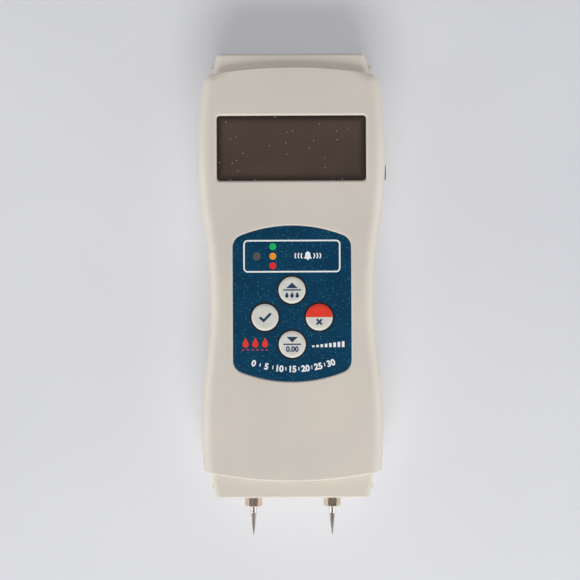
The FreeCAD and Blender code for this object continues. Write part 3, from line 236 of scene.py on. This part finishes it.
def key_wells(finish):
    """1 within the well radius of a key's axis, at every height, and 0 elsewhere: where the wells are
    painted black, a painted shade.
    """
    inside = 0.0
    for name in KEYS:
        at = centre(f"key_{name}") / MM
        along_x = finish.calc("SUBTRACT", finish.axis("X"), at.x)
        along_y = finish.calc("SUBTRACT", finish.axis("Y"), at.y)
        square_x = finish.calc("POWER", along_x, 2.0)
        square_y = finish.calc("POWER", along_y, 2.0)
        near = finish.calc("LESS_THAN", finish.calc("ADD", square_x, square_y), WELL_SHADE_RADIUS**2)
        inside = finish.calc("ADD", near, inside)
    return inside


LENS_SHADE_WIDTH = 2.8  # width of the painted shade along the edges of the display window, in mm


def lens_finish(pane):
    """Smoked glossy acrylic over a dark display: darker along its edges in painted shade, with dust and
    scratches.
    """
    low, high = (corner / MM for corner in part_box(pane))
    finish = Finish("lens_acrylic", IOR=1.49, Coat_Weight=0.6, Coat_Roughness=0.04)
    across = finish.inside("X", low.x, high.x)
    along = finish.inside("Y", low.y, high.y)
    # Painted shade: the window darkens towards its edges, as if the display lay in shadow deep behind it.
    edge_shade = finish.span(finish.calc("MINIMUM", across, along), 0.0, LENS_SHADE_WIDTH)
    cloud = finish.span(finish.noise(0.05, 1.0), 0.35, 0.65)
    upper = finish.span(finish.axis("Y"), low.y, high.y)
    middle = finish.blend(upper, tint(66, 54, 45), tint(80, 65, 55))
    middle = finish.blend(cloud, middle, tint(76, 61, 51))
    smoke_and_edge_shade = finish.blend(edge_shade, tint(40, 29, 22), middle)
    coarse = finish.specks(per_mm=0.55, size=0.42, share=0.34)
    small = finish.specks(per_mm=1.1, size=0.24, share=0.15)
    dusty = finish.blend(coarse, smoke_and_edge_shade, tint(140, 130, 120))
    dusty = finish.blend(small, dusty, tint(112, 100, 90))
    finish.colour(dusty)
    scratches = finish.noise(1.4, 4.0, (6.0, 0.15, 1.0))
    finish.roughness(finish.span(scratches, 0.3, 0.8, 0.10, 0.22))
    return finish.bump(finish.noise(0.12, 2.0), 0.01)


def smoked_finish():
    """The small smoked pane over the alarm lamp."""
    dark = tint(78, 74, 73)
    light = tint(94, 90, 88)
    return moulded("smoked_pane", dark, light, 0.2, grain=2.0, deep=0.002, IOR=1.49)


def panel_finish():
    """Printed polyester film: dark blue with a fine lighter speckle under a satin face."""
    finish = Finish("panel_film", Specular_IOR_Level=0.12)
    cloud = finish.noise(0.12, 2.0)
    fine = finish.noise(2.6, 3.0)
    grain = finish.noise(7.0, 1.0)
    ground = finish.blend(finish.span(cloud, 0.3, 0.7), tint(0, 51, 78), tint(2, 57, 86))
    speckled = finish.blend(finish.span(fine, 0.45, 0.75, 0.0, 0.6), ground, tint(16, 72, 104))
    dots = finish.specks(per_mm=1.5, size=0.30, share=0.45)
    dotted = finish.blend(dots, speckled, tint(58, 120, 146))
    finish.colour(dotted)
    finish.roughness(finish.span(grain, 0.3, 0.7, 0.46, 0.58))
    return finish.bump(grain, 0.006).bump(fine, 0.006)


def key_finish(name, upper=None, middle=0.0):
    """Light satin rubber. A key may have its upper half in another colour, from its middle upwards."""
    finish = Finish(name, Specular_IOR_Level=0.4)
    cloud = finish.noise(0.25, 2.0)
    fine = finish.noise(5.0, 2.0)
    body = finish.blend(finish.span(cloud, 0.3, 0.7), tint(206, 206, 198), tint(213, 212, 204))
    if upper:
        half = finish.calc("GREATER_THAN", finish.axis("Y"), middle / MM)
        body = finish.blend(half, body, upper)
    finish.colour(finish.blend(finish.span(fine, 0.3, 0.7, 0.0, 0.08), body, tint(150, 146, 138)))
    finish.roughness(finish.span(cloud, 0.3, 0.7, 0.40, 0.48))
    return finish.bump(fine, 0.004)


def ink(name, colour, faded):
    """Screen-printed ink: nearly even, with a fine pinholed edge to its colour."""
    finish = Finish(name, Specular_IOR_Level=0.35)
    fine = finish.noise(6.0, 2.0)
    finish.colour(finish.blend(finish.span(fine, 0.35, 0.75, 0.0, 0.5), colour, faded))
    finish.roughness(finish.span(fine, 0.3, 0.7, 0.42, 0.55))
    return finish.bump(fine, 0.003)


def board_finish():
    """Green solder mask over copper tracks."""
    finish = Finish("board_mask", Coat_Weight=0.3, Coat_Roughness=0.2)
    tracks = finish.node("ShaderNodeTexBrick", offset=0.5, squash=1.0)
    finish.link(finish.place, tracks.inputs["Vector"])
    settings = {"Scale": 0.22, "Mortar Size": 0.012, "Brick Width": 0.9, "Row Height": 0.4}
    for socket, value in settings.items():
        tracks.inputs[socket].default_value = value
    weave = finish.noise(3.0, 2.0)
    green = finish.blend(finish.span(weave, 0.3, 0.7), tint(18, 84, 52), tint(24, 98, 60))
    finish.colour(finish.blend(tracks.outputs["Fac"], green, tint(60, 140, 84)))
    finish.roughness(finish.span(weave, 0.3, 0.7, 0.30, 0.42))
    return finish.bump(tracks.outputs["Fac"], 0.03)


def mixed_parts_finish():
    """Small parts of a circuit board: each solid has a shade of its own, from black to ceramic brown."""
    finish = Finish("board_parts")
    island = finish.node("ShaderNodeNewGeometry").outputs["Random Per Island"]
    shade = finish.blend(finish.span(island, 0.45, 0.55), tint(32, 32, 34), tint(120, 96, 70))
    fine = finish.noise(5.0, 2.0)
    finish.colour(finish.blend(finish.span(fine, 0.3, 0.7, 0.0, 0.2), shade, tint(90, 88, 84)))
    finish.roughness(finish.span(fine, 0.3, 0.7, 0.4, 0.6))
    return finish.bump(fine, 0.01)


BARE_END = 1.1  # length of bare steel at each end of a cell, in mm
COPPER_FROM = 0.8  # where a cell's copper band begins, as a share of its length


def battery_finish(name, node, button_up):
    """A printed cell sleeve: dark with a copper band at its button end, and bare steel at both ends."""
    low, high = (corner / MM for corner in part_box(node))
    ends = (low.y, high.y) if button_up else (high.y, low.y)
    finish = Finish(name, Coat_Weight=0.5, Coat_Roughness=0.15)
    way = finish.span(finish.axis("Y"), *ends)
    bare = finish.calc("LESS_THAN", finish.inside("Y", low.y, high.y), BARE_END)
    fine = finish.noise(2.0, 2.0)
    dark = finish.blend(finish.span(fine, 0.3, 0.7), tint(26, 27, 30), tint(34, 35, 38))
    copper = finish.blend(finish.span(fine, 0.3, 0.7), tint(184, 110, 56), tint(204, 128, 70))
    sleeve = finish.blend(finish.calc("GREATER_THAN", way, COPPER_FROM), dark, copper)
    finish.colour(finish.blend(bare, sleeve, tint(176, 176, 172)))
    finish.feed(finish.shader.inputs["Metallic"], finish.calc("MAXIMUM", bare, 0.35))
    finish.roughness(finish.span(fine, 0.3, 0.7, 0.24, 0.34))
    return finish.bump(fine, 0.004)


def striped_finish():
    """Elastomer contact strip: thin dark conducting layers between pale ones."""
    finish = Finish("contact_rubber", Roughness=0.7)
    wave = finish.node("ShaderNodeTexWave", bands_direction="X")
    finish.link(finish.place, wave.inputs["Vector"])
    wave.inputs["Scale"].default_value = 1.6
    layers = finish.span(wave.outputs["Fac"], 0.4, 0.6)
    finish.colour(finish.blend(layers, tint(70, 66, 66), tint(206, 160, 152)))
    return finish.bump(wave.outputs["Fac"], 0.02)


def floor_finish():
    """Matt pale paper with barely visible tone changes."""
    finish = Finish("floor_paper", Specular_IOR_Level=0.15, Roughness=0.9)
    cloud = finish.noise(0.006, 2.0)
    finish.colour(finish.blend(finish.span(cloud, 0.3, 0.7), tint(215, 216, 221), tint(221, 222, 226)))
    return finish.bump(finish.noise(1.5, 2.0), 0.01)


def paint(finish, *names):
    """Puts the finish on CAD nodes."""
    for name in names:
        mesh = nodes[name].data
        if not mesh.materials:
            mesh.materials.append(finish.material)
        for slot in nodes[name].material_slots:
            slot.material = finish.material


def paint_front():
    """The outside of the meter and its controls."""
    steel = metal("needle_steel", tint(206, 196, 188), tint(232, 224, 216), 0.16, (1, 0.05, 1))
    plated = metal("nut_nickel", tint(206, 184, 166), tint(226, 206, 188), 0.24, (1, 0.3, 1), 3.0)
    paint(case_finish(), "front_case", "back_case", "battery_door")
    paint(lens_finish("display_window"), "display_window")
    paint(smoked_finish(), "lamp_window")
    paint(panel_finish(), "keypad_panel")
    paint(key_finish("key_rubber"), "key_up", "key_down", "key_set")
    paint(key_finish("key_rubber_red", tint(224, 46, 24), centre("key_esc").y), "key_esc")
    paint(steel, "pin_left", "pin_right")
    paint(plated, "pin_nut_left", "pin_nut_right")


def paint_display():
    """What lies behind the window."""
    foam = moulded("gasket_foam", tint(20, 20, 21), tint(34, 34, 36), 0.85, grain=1.2, deep=0.05)
    pale = tint(118, 124, 108)
    bright = tint(128, 134, 116)
    glass = moulded("display_glass", pale, bright, 0.12, grain=3.0, deep=0.001, IOR=1.52)
    paint(foam, "display_gasket")
    paint(glass, "display_glass")
    paint(moulded("display_frame", tint(196, 194, 188), tint(208, 206, 200), 0.5), "display_frame")
    paint(striped_finish(), "contact_strips")


def paint_electronics():
    """The board and what it carries."""
    black = moulded("black_plastic", tint(24, 24, 25), tint(36, 36, 37), 0.42)
    lamp = moulded("lamp_red", tint(150, 22, 18), tint(176, 30, 24), 0.12, grain=2.0, deep=0.002)
    paint(lamp, "alarm_lamp")
    paint(board_finish(), "circuit_board")
    paint(moulded("chip_epoxy", tint(26, 27, 29), tint(38, 39, 41), 0.55), "main_chip")
    paint(mixed_parts_finish(), "board_parts")
    paint(black, "buzzer", "probe_jack", "switch_housings")
    for key in KEYS:
        paint(black, f"switch_plunger_{key}")


def paint_power_and_probe():
    """The cells and their contacts, the electrodes' holder, sockets and leads, and the screws."""
    for number in range(1, 5):
        name = f"battery_{number}"
        paint(battery_finish(f"sleeve_{number}", name, number % 2 == 1), name)
    nickel = metal("contact_nickel", tint(160, 154, 144), tint(186, 181, 172), 0.26)
    nylon = moulded("holder_nylon", tint(210, 204, 186), tint(222, 216, 200), 0.45)
    brass = metal("socket_brass", tint(170, 132, 66), tint(196, 156, 86), 0.25)
    sleeve = moulded("lead_sleeve", tint(150, 24, 22), tint(168, 34, 28), 0.4)
    zinc = metal("screw_zinc", tint(150, 150, 148), tint(178, 178, 174), 0.32)
    paint(nickel, "battery_springs", "upper_contacts", "lower_contacts")
    paint(nylon, "electrode_holder")
    paint(brass, "pin_socket_left", "pin_socket_right")
    paint(sleeve, "electrode_lead_left", "electrode_lead_right")
    paint(zinc, "case_screws", "board_screws")


def paint_nodes():
    """Gives every CAD node its finish."""
    paint_front()
    paint_display()
    paint_electronics()
    paint_power_and_probe()


# ---- Outlines of marks, in millimetres --------------------------------------------------------------

CIRCLE_STEPS = 72
LONGEST_RUN = 0.4  # longest straight run in an outline, so that a mark follows a curved key
DROP_POINT = 1.6  # how finely a drop is pointed
DROP_SWELL = 0.62  # brings a drop's greatest width near the width asked for
MITRE_LEAST = 0.3  # keeps a sharp corner's mitre short


def circle(x, y, radius):
    turns = [2 * math.pi * i / CIRCLE_STEPS for i in range(CIRCLE_STEPS)]
    return [(x + radius * math.cos(t), y + radius * math.sin(t)) for t in turns]


def rounded_rectangle(x, y, wide, tall, corner):
    """Corner by corner, counter-clockwise from the right."""
    steps = CIRCLE_STEPS // 8
    outline = []
    for quarter, (a, b) in enumerate(((1, 1), (-1, 1), (-1, -1), (1, -1))):
        mid_x = x + a * (wide / 2 - corner)
        mid_y = y + b * (tall / 2 - corner)
        for i in range(steps + 1):
            turn = (quarter + i / steps) * math.pi / 2
            outline.append((mid_x + corner * math.cos(turn), mid_y + corner * math.sin(turn)))
    return outline


def arc_band(x, y, radius, width, start, end, steps=16):
    """A band along an arc, from one angle in degrees to another."""
    turns = [math.radians(start + (end - start) * i / steps) for i in range(steps + 1)]
    far = radius + width / 2
    near = radius - width / 2
    outer = [(x + far * math.cos(t), y + far * math.sin(t)) for t in turns]
    inner = [(x + near * math.cos(t), y + near * math.sin(t)) for t in turns]
    return outer + inner[::-1]


def droplet(x, y, wide, tall):
    """A drop with its point up."""
    outline = []
    for i in range(CIRCLE_STEPS):
        turn = 2 * math.pi * i / CIRCLE_STEPS
        bulge = math.sin(turn) * math.sin(turn / 2) ** DROP_POINT
        outline.append((x - wide * DROP_SWELL * bulge, y + tall / 2 * math.cos(turn)))
    return outline


def triangle(x, y, wide, tall):
    return dense([(x - wide / 2, y - tall / 2), (x + wide / 2, y - tall / 2), (x, y + tall / 2)])


def bar(x, y, wide, tall):
    return dense([(x + a * wide / 2, y + b * tall / 2) for a, b in SQUARE])


def stroke(points, width):
    """The outline of a bent stroke with square ends and a mitred corner."""
    path = [Vector(p) for p in points]
    runs = [(end - start).normalized() for start, end in zip(path, path[1:])]
    left = []
    right = []
    for point, behind, ahead in zip(path, runs[:1] + runs, runs + runs[-1:]):
        across = Vector((-ahead.y - behind.y, ahead.x + behind.x)).normalized()
        reach = width / 2 / max(across.dot(Vector((-ahead.y, ahead.x))), MITRE_LEAST)
        left.append(tuple(point + across * reach))
        right.append(tuple(point - across * reach))
    return dense(right + left[::-1])


def bell(x, y, tall):
    """Half profile from the crown to the rim, in shares of the height, mirrored."""
    crown = [(0.07, 0.5), (0.22, 0.42), (0.30, 0.25)]
    skirt = [(0.33, 0.0), (0.37, -0.18), (0.48, -0.30), (0.48, -0.36)]
    right = [(x + tall * a, y + tall * b) for a, b in crown + skirt]
    left = [(2 * x - a, b) for a, b in reversed(right)]
    clapper = arc_band(x, y - tall * 0.36, tall * 0.10, tall * 0.12, 180, 360)
    return [right + left, clapper]


def dense(outline):
    """The same outline with no straight run longer than LONGEST_RUN."""
    points = []
    corners = [Vector(corner) for corner in outline]
    for start, end in zip(corners, corners[1:] + corners[:1]):
        count = max(1, math.ceil((end - start).length / LONGEST_RUN))
        points += [tuple(start.lerp(end, i / count)) for i in range(count)]
    return points


# ---- Marks ------------------------------------------------------------------------------------------

PROUD = 0.025  # how far a mark stands out of its surface, in mm
SUNK = 0.02  # how far it reaches into it
DIGIT_TALL = 0.73  # a digit's height in shares of the type size
DIGIT_BOLD = 0.055  # how much its strokes are thickened, in shares of its height


def outline_curve(name, outlines):
    """A filled flat curve. An outline inside another is a hole."""
    curve = bpy.data.curves.new(name, "CURVE")
    curve.dimensions = "2D"
    for outline in outlines:
        spline = curve.splines.new("POLY")
        spline.points.add(len(outline) - 1)
        for point, (x, y) in zip(spline.points, outline):
            point.co = (x, y, 0, 1)
        spline.use_cyclic_u = True
    return curve


def number_curve(name, text, tall):
    """Digits of a given height, centred on the origin."""
    curve = bpy.data.curves.new(name, "FONT")
    curve.body = text
    curve.size = tall / DIGIT_TALL
    curve.align_x = "CENTER"
    curve.offset = tall * DIGIT_BOLD
    curve.resolution_u = 4
    return curve


def prism(curve, place=None):
    """The curve's filled shape as a closed prism in bmesh form, moved by place(x, y)."""
    curve.fill_mode = "BOTH"
    curve.extrude = 1.0
    holder = bpy.data.objects.new(curve.name, curve)
    flat = bpy.data.meshes.new_from_object(holder)
    bpy.data.objects.remove(holder)
    shape = bmesh.new()
    shape.from_mesh(flat)
    bpy.data.meshes.remove(flat)
    bmesh.ops.remove_doubles(shape, verts=shape.verts, dist=1e-4)
    if place:
        for vertex in shape.verts:
            vertex.co.x, vertex.co.y = place(vertex.co.x, vertex.co.y)
    return shape


def mark(name, shapes, surface, finish, body):
    """One printed piece from prisms, laid on a surface whose height in mm is surface(x, y)."""
    mesh = bpy.data.meshes.new(name)
    joined = bmesh.new()
    for shape in shapes:
        for vertex in shape.verts:
            offset = PROUD if vertex.co.z > 0 else -SUNK
            vertex.co.z = surface(vertex.co.x, vertex.co.y) + offset
            vertex.co *= MM
        single = bpy.data.meshes.new(name + "_part")
        shape.to_mesh(single)
        shape.free()
        joined.from_mesh(single)
        bpy.data.meshes.remove(single)
    bmesh.ops.recalc_face_normals(joined, faces=joined.faces)
    joined.to_mesh(mesh)
    joined.free()
    mesh.materials.append(finish.material)
    piece = bpy.data.objects.new(name, mesh)
    bpy.context.scene.collection.objects.link(piece)
    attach(piece, body)
    return piece


def outlined(name, outlines):
    return prism(outline_curve(name, outlines))


# The panel's own places, in millimetres.
panel_low, panel_high = (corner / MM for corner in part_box("keypad_panel"))
PANEL_BEND = 46.0  # radius of the panel's bowed ends
lamp_at = centre("lamp_window") / MM


def panel_surface(x, y):
    return panel_high.z


def on_panel(name, shapes, finish):
    return mark(name, shapes, panel_surface, finish, "root")


ALARM_WIDE = 31.9
ALARM_TALL = 10.7
ALARM_CORNER = 1.5
ALARM_LINE = 0.5


def alarm_field(white):
    """The rounded outline of the field at the top of the panel, on the meter's centre line."""
    outer = rounded_rectangle(0.0, lamp_at.y, ALARM_WIDE, ALARM_TALL, ALARM_CORNER)
    inside = (ALARM_WIDE - 2 * ALARM_LINE, ALARM_TALL - 2 * ALARM_LINE, ALARM_CORNER - ALARM_LINE)
    inner = rounded_rectangle(0.0, lamp_at.y, *inside)
    on_panel("alarm_field_line", [outlined("alarm_field_line", [outer, inner])], white)


DOT_FROM_LAMP = 5.25  # from the lamp to the level dots beside it
DOT_STEP = 3.15
DOT_RIM = (1.1, 0.52)  # outer and inner radius of a dot's rim
DOT_CORE = 0.42


def level_dots():
    """Three level dots, one above the other: a rim with a core."""
    levels = {
        "green": (1, tint(0, 190, 92), tint(10, 160, 82)),
        "amber": (0, tint(255, 160, 36), tint(226, 138, 30)),
        "red": (-1, tint(238, 38, 26), tint(210, 30, 22)),
    }
    x = lamp_at.x + DOT_FROM_LAMP
    for colour, (steps, bright, dull) in levels.items():
        name = f"level_dot_{colour}"
        y = lamp_at.y + steps * DOT_STEP
        rim = [circle(x, y, radius) for radius in DOT_RIM]
        core = [circle(x, y, DOT_CORE)]
        shapes = [outlined(name, rim), outlined(name + "_core", core)]
        on_panel(name, shapes, ink(f"ink_{colour}", bright, dull))


BELL_X = 5.25
BELL_UP = 0.15  # how far the bell's middle lies above the lamp's
BELL_TALL = 2.7
SOUND_UP = 0.1
SOUND_COUNT = 3  # arcs on each side of the bell
SOUND_FIRST = 0.95  # from the bell to the centre of the first arc
SOUND_STEP = 1.0
SOUND_RADIUS = 1.25
SOUND_WIDE = 0.40
SOUND_HALF = 42  # degrees each way


def ringing_bell(white):
    """A bell with arcs of sound on both sides."""
    bell_parts = bell(BELL_X, lamp_at.y + BELL_UP, BELL_TALL)
    shapes = [outlined("alarm_bell", [part]) for part in bell_parts]
    for side, facing in ((1, 0), (-1, 180)):
        for i in range(SOUND_COUNT):
            x = BELL_X + side * (SOUND_FIRST + SOUND_STEP * i)
            sweep = (facing - SOUND_HALF, facing + SOUND_HALF)
            band = arc_band(x, lamp_at.y + SOUND_UP, SOUND_RADIUS, SOUND_WIDE, *sweep)
            shapes.append(outlined("alarm_sound", [band]))
    on_panel("alarm_bell", shapes, white)


KEY_RING = (4.55, 5.0)  # inner and outer radius of the black ring round a key


def key_rings(black):
    inner, outer = KEY_RING
    for name in KEYS:
        at = centre(f"key_{name}") / MM
        rings = [circle(at.x, at.y, outer), circle(at.x, at.y, inner)]
        on_panel(f"key_ring_{name}", [outlined(f"key_ring_{name}", rings)], black)


DISH_DEEP = 0.14  # how far the middle of a key lies below its ridge, in mm
DISH_RIDGE = 3.35  # radius of that ridge
DISH_BEND = (DISH_RIDGE**2 + DISH_DEEP**2) / (2 * DISH_DEEP)


def key_surface(name):
    """The height of a key's dish as a function of place."""
    at = centre(f"key_{name}") / MM
    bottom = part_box(f"key_{name}")[1].z / MM - DISH_DEEP

    def height(x, y):
        out = min(math.hypot(x - at.x, y - at.y), DISH_RIDGE)
        return bottom + DISH_BEND - math.sqrt(DISH_BEND**2 - out**2)

    return height


def on_key(name, key, shapes, finish):
    return mark(name, shapes, key_surface(key), finish, f"{key}_key")


# Places on a key are measured from its centre.
ARROW_UP = 1.55
ARROW_WIDE = 3.8
ARROW_TALL = 1.85
LINE_UP = 0.05
LINE_WIDE = 5.8
LINE_TALL = 0.42


def key_arrow(key, way, blue):
    """An arrow over a line. It points up with a way of 1 and down with a way of -1."""
    at = centre(f"key_{key}") / MM
    middle = at.y + ARROW_UP
    upright = triangle(at.x, middle, ARROW_WIDE, ARROW_TALL)
    arrow = [(x, middle + way * (y - middle)) for x, y in upright]
    line = bar(at.x, at.y + LINE_UP, LINE_WIDE, LINE_TALL)
    name = f"key_arrow_{key}"
    on_key(name, key, [outlined(name, [arrow]), outlined(name + "_line", [line])], blue)


KEY_DROP_STEP = 1.7
KEY_DROP_DOWN = 1.5
KEY_DROP_WIDE = 1.3
KEY_DROP_TALL = 1.95


def key_drops(blue):
    """Three drops under the arrow of the upper key."""
    at = centre("key_up") / MM
    shapes = []
    for i in (-1, 0, 1):
        x = at.x + KEY_DROP_STEP * i
        drop = droplet(x, at.y - KEY_DROP_DOWN, KEY_DROP_WIDE, KEY_DROP_TALL)
        shapes.append(outlined("key_drop", [drop]))
    on_key("key_drops", "up", shapes, blue)


ZERO_DOWN = 2.35
ZERO_TALL = 1.75


def key_zero(blue):
    """A zero reading under the arrow of the lower key."""
    at = centre("key_down") / MM
    digits = number_curve("key_zero", "0.00", ZERO_TALL)
    zero = prism(digits, lambda x, y: (at.x + x, at.y - ZERO_DOWN + y))
    on_key("key_zero", "down", [zero], blue)


TICK_POINTS = ((-1.7, 0.05), (-0.45, -1.15), (1.9, 1.3))
TICK_WIDE = 0.82
CROSS_DOWN = 1.55
CROSS_REACH = 0.85
CROSS_WIDE = 0.66


def key_tick(blue):
    at = centre("key_set") / MM
    tick = stroke([(at.x + x, at.y + y) for x, y in TICK_POINTS], TICK_WIDE)
    on_key("key_tick", "set", [outlined("key_tick", [tick])], blue)


def key_cross(blue):
    """A cross on the lower half of the two-coloured key."""
    at = centre("key_esc") / MM
    middle = at.y - CROSS_DOWN
    left = at.x - CROSS_REACH
    right = at.x + CROSS_REACH
    shapes = []
    for slope in (1, -1):
        rise = slope * CROSS_REACH
        arm = stroke([(left, middle - rise), (right, middle + rise)], CROSS_WIDE)
        shapes.append(outlined("key_cross", [arm]))
    on_key("key_cross", "esc", shapes, blue)


EMBLEM_LEFT = -16.8
EMBLEM_DROPS = 3
EMBLEM_DROP_IN = 1.5  # from the emblem's left side to the first drop's middle
EMBLEM_DROP_STEP = 3.2
EMBLEM_DROP_Y = -15.5
EMBLEM_DROP_WIDE = 2.3
EMBLEM_DROP_TALL = 3.3
EMBLEM_DASHES = 6
EMBLEM_DASH_IN = 0.7
EMBLEM_DASH_STEP = 1.55
EMBLEM_DASH_Y = -17.95
EMBLEM_DASH_WIDE = 0.7
EMBLEM_DASH_TALL = 0.3


def emblem_marks(red):
    """Three drops over a thin broken line, left of the lower key."""
    shapes = []
    for i in range(EMBLEM_DROPS):
        x = EMBLEM_LEFT + EMBLEM_DROP_IN + EMBLEM_DROP_STEP * i
        drop = droplet(x, EMBLEM_DROP_Y, EMBLEM_DROP_WIDE, EMBLEM_DROP_TALL)
        shapes.append(outlined("emblem_drop", [drop]))
    for i in range(EMBLEM_DASHES):
        x = EMBLEM_LEFT + EMBLEM_DASH_IN + EMBLEM_DASH_STEP * i
        dash = bar(x, EMBLEM_DASH_Y, EMBLEM_DASH_WIDE, EMBLEM_DASH_TALL)
        shapes.append(outlined("emblem_dash", [dash]))
    on_panel("emblem_drops", shapes, red)


LEVEL_BARS = 8
LEVEL_X = 6.9  # middle of the first bar
LEVEL_STEP = 1.4
LEVEL_FOOT = -17.15
LEVEL_WIDE = 0.85
LEVEL_LEAST = 0.55  # height of the first bar
LEVEL_RISE = 1.35  # how much taller the last one is


def level_marks(white):
    """A row of rising bars, right of the lower key."""
    shapes = []
    for i in range(LEVEL_BARS):
        tall = LEVEL_LEAST + LEVEL_RISE * i / (LEVEL_BARS - 1)
        x = LEVEL_X + LEVEL_STEP * i
        shapes.append(outlined("level_bar", [bar(x, LEVEL_FOOT + tall / 2, LEVEL_WIDE, tall)]))
    on_panel("level_bars", shapes, white)


SCALE_NUMBERS = (0, 5, 10, 15, 20, 25, 30)
SCALE_TALL = 2.05
SCALE_IN = 3.2  # distance of the numbers' feet from the panel's lower edge
SCALE_SWEEP = 17.6  # degrees from the middle to the last number
SCALE_TICK_WIDE = 0.3
SCALE_TICK_TALL = 0.55  # a tick's height in shares of a number's


def scale_marks(white):
    """Numbers of a percentage scale along the panel's lower end, with a short tick between them."""
    radius = PANEL_BEND - SCALE_IN
    middle_y = panel_low.y + PANEL_BEND
    step = 2 * SCALE_SWEEP / (len(SCALE_NUMBERS) - 1)
    shapes = []
    for i, number in enumerate(SCALE_NUMBERS):
        turn = math.radians(-SCALE_SWEEP + i * step)
        place = bent_place(turn, radius, middle_y)
        shapes.append(prism(number_curve(f"scale_{number}", str(number), SCALE_TALL), place))
        if i:
            tick = math.radians(-SCALE_SWEEP + (i - 0.5) * step)
            place = bent_place(tick, radius, middle_y)
            upright = bar(0, SCALE_TALL / 2, SCALE_TICK_WIDE, SCALE_TALL * SCALE_TICK_TALL)
            outline = [place(x, y) for x, y in upright]
            shapes.append(outlined("scale_tick", [outline]))
    on_panel("scale_numbers", shapes, white)


def bent_place(turn, radius, middle_y):
    """Carries a point drawn upright at the origin to its place on the scale's arc."""

    def place(x, y):
        out = radius - y
        angle = turn + x / radius
        return out * math.sin(angle), middle_y - out * math.cos(angle)

    return place


def print_marks():
    white = ink("ink_white", tint(236, 238, 238), tint(206, 212, 216))
    black = ink("ink_black", tint(14, 15, 18), tint(26, 28, 32))
    blue = ink("ink_blue", tint(16, 50, 84), tint(34, 68, 100))
    red = ink("ink_emblem", tint(226, 52, 36), tint(196, 44, 34))
    alarm_field(white)
    level_dots()
    ringing_bell(white)
    key_rings(black)
    key_arrow("up", 1, blue)
    key_arrow("down", -1, blue)
    key_drops(blue)
    key_zero(blue)
    key_tick(blue)
    key_cross(blue)
    emblem_marks(red)
    level_marks(white)
    scale_marks(white)


# ---- Stage ------------------------------------------------------------------------------------------

FLOOR_HALF = 1.5
FLOOR_BELOW = 0.0001  # keeps the floor clear of the meter's back


def floor():
    mesh = bpy.data.meshes.new("floor")
    corners = [(a * FLOOR_HALF, b * FLOOR_HALF, -FLOOR_BELOW) for a, b in SQUARE]
    mesh.from_pydata(corners, [], [(0, 1, 2, 3)])
    mesh.materials.append(floor_finish().material)
    plane = bpy.data.objects.new("floor", mesh)
    bpy.context.scene.collection.objects.link(plane)


def softbox(name, at, wide, tall, power):
    """A near-white area light that looks at the meter."""
    light = bpy.data.lights.new(name, "AREA")
    light.shape = "RECTANGLE"
    light.size = wide
    light.size_y = tall
    light.energy = power
    light.color = LIGHT_TINT
    holder = bpy.data.objects.new(name, light)
    holder.location = at
    holder.rotation_euler = (-Vector(at)).to_track_quat("-Z", "Y").to_euler()
    bpy.context.scene.collection.objects.link(holder)
    return holder


LIGHT_TINT = (1.0, 0.99, 0.975)
FILL_TALL = 1.2


def studio_light():
    """One light from above the needle end casts the shadows. The fills round it cast none."""
    softbox("front_softbox", (0.0, -1.1, 1.05), 1.0, 0.6, 12.0)
    fills = {
        "left_softbox": ((-1.1, -0.1, 0.95), 0.6, 2.0),
        "right_softbox": ((1.1, -0.1, 0.95), 0.6, 1.8),
        "left_fill": ((-1.2, 0.0, 0.26), 0.4, 7.4),
        "right_fill": ((1.2, 0.0, 0.26), 0.4, 7.0),
        "front_fill": ((0.0, -1.3, 0.26), 0.4, 5.0),
    }
    for name, (at, wide, power) in fills.items():
        fill = softbox(name, at, wide, FILL_TALL, power)
        fill.data.use_shadow = False


SKY_TINT = (0.93, 0.95, 1.0, 1.0)
SKY_LOW = 0.37  # strength of the surround near the horizon
SKY_HIGH = 0.17  # and overhead
SKY_TURN = (0.55, 0.9)  # heights of a direction, from 0 to 1, between which it dims


def surround():
    """A pale surround that dims overhead."""
    world = bpy.data.worlds.new("surround")
    world.use_nodes = True
    tree = world.node_tree
    background = tree.nodes["Background"]
    background.inputs["Color"].default_value = SKY_TINT
    direction = tree.nodes.new("ShaderNodeTexCoord").outputs["Generated"]
    parts = tree.nodes.new("ShaderNodeSeparateXYZ")
    tree.links.new(direction, parts.inputs["Vector"])
    fade = tree.nodes.new("ShaderNodeMapRange")
    fade.interpolation_type = "SMOOTHSTEP"
    low, high = SKY_TURN
    settings = {"From Min": low, "From Max": high, "To Min": SKY_LOW, "To Max": SKY_HIGH}
    for socket, value in settings.items():
        fade.inputs[socket].default_value = value
    tree.links.new(parts.outputs["Z"], fade.inputs["Value"])
    tree.links.new(fade.outputs["Result"], background.inputs["Strength"])
    bpy.context.scene.world = world
    bpy.context.scene.view_settings.view_transform = "Standard"


LENS = 0.100
SENSOR = 0.036
VIEW_WIDE = 0.19024  # width of the view at the meter's face
VIEW_AT = (-0.00066, 0.00164)  # point of that face under the camera
VIEW_TURN = math.radians(-0.26)
CLIP_NEAR = 0.01


def camera():
    """Straight down on the face, with the display end up."""
    data = bpy.data.cameras.new("camera")
    data.lens = LENS / MM
    data.sensor_width = SENSOR / MM
    data.clip_start = CLIP_NEAR
    holder = bpy.data.objects.new("camera", data)
    face_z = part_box("front_case")[1].z
    holder.location = (*VIEW_AT, face_z + VIEW_WIDE * LENS / SENSOR)
    holder.rotation_euler = (0.0, 0.0, VIEW_TURN)
    bpy.context.scene.collection.objects.link(holder)
    bpy.context.scene.camera = holder


camera()
floor()
studio_light()
surround()
paint_nodes()
print_marks()
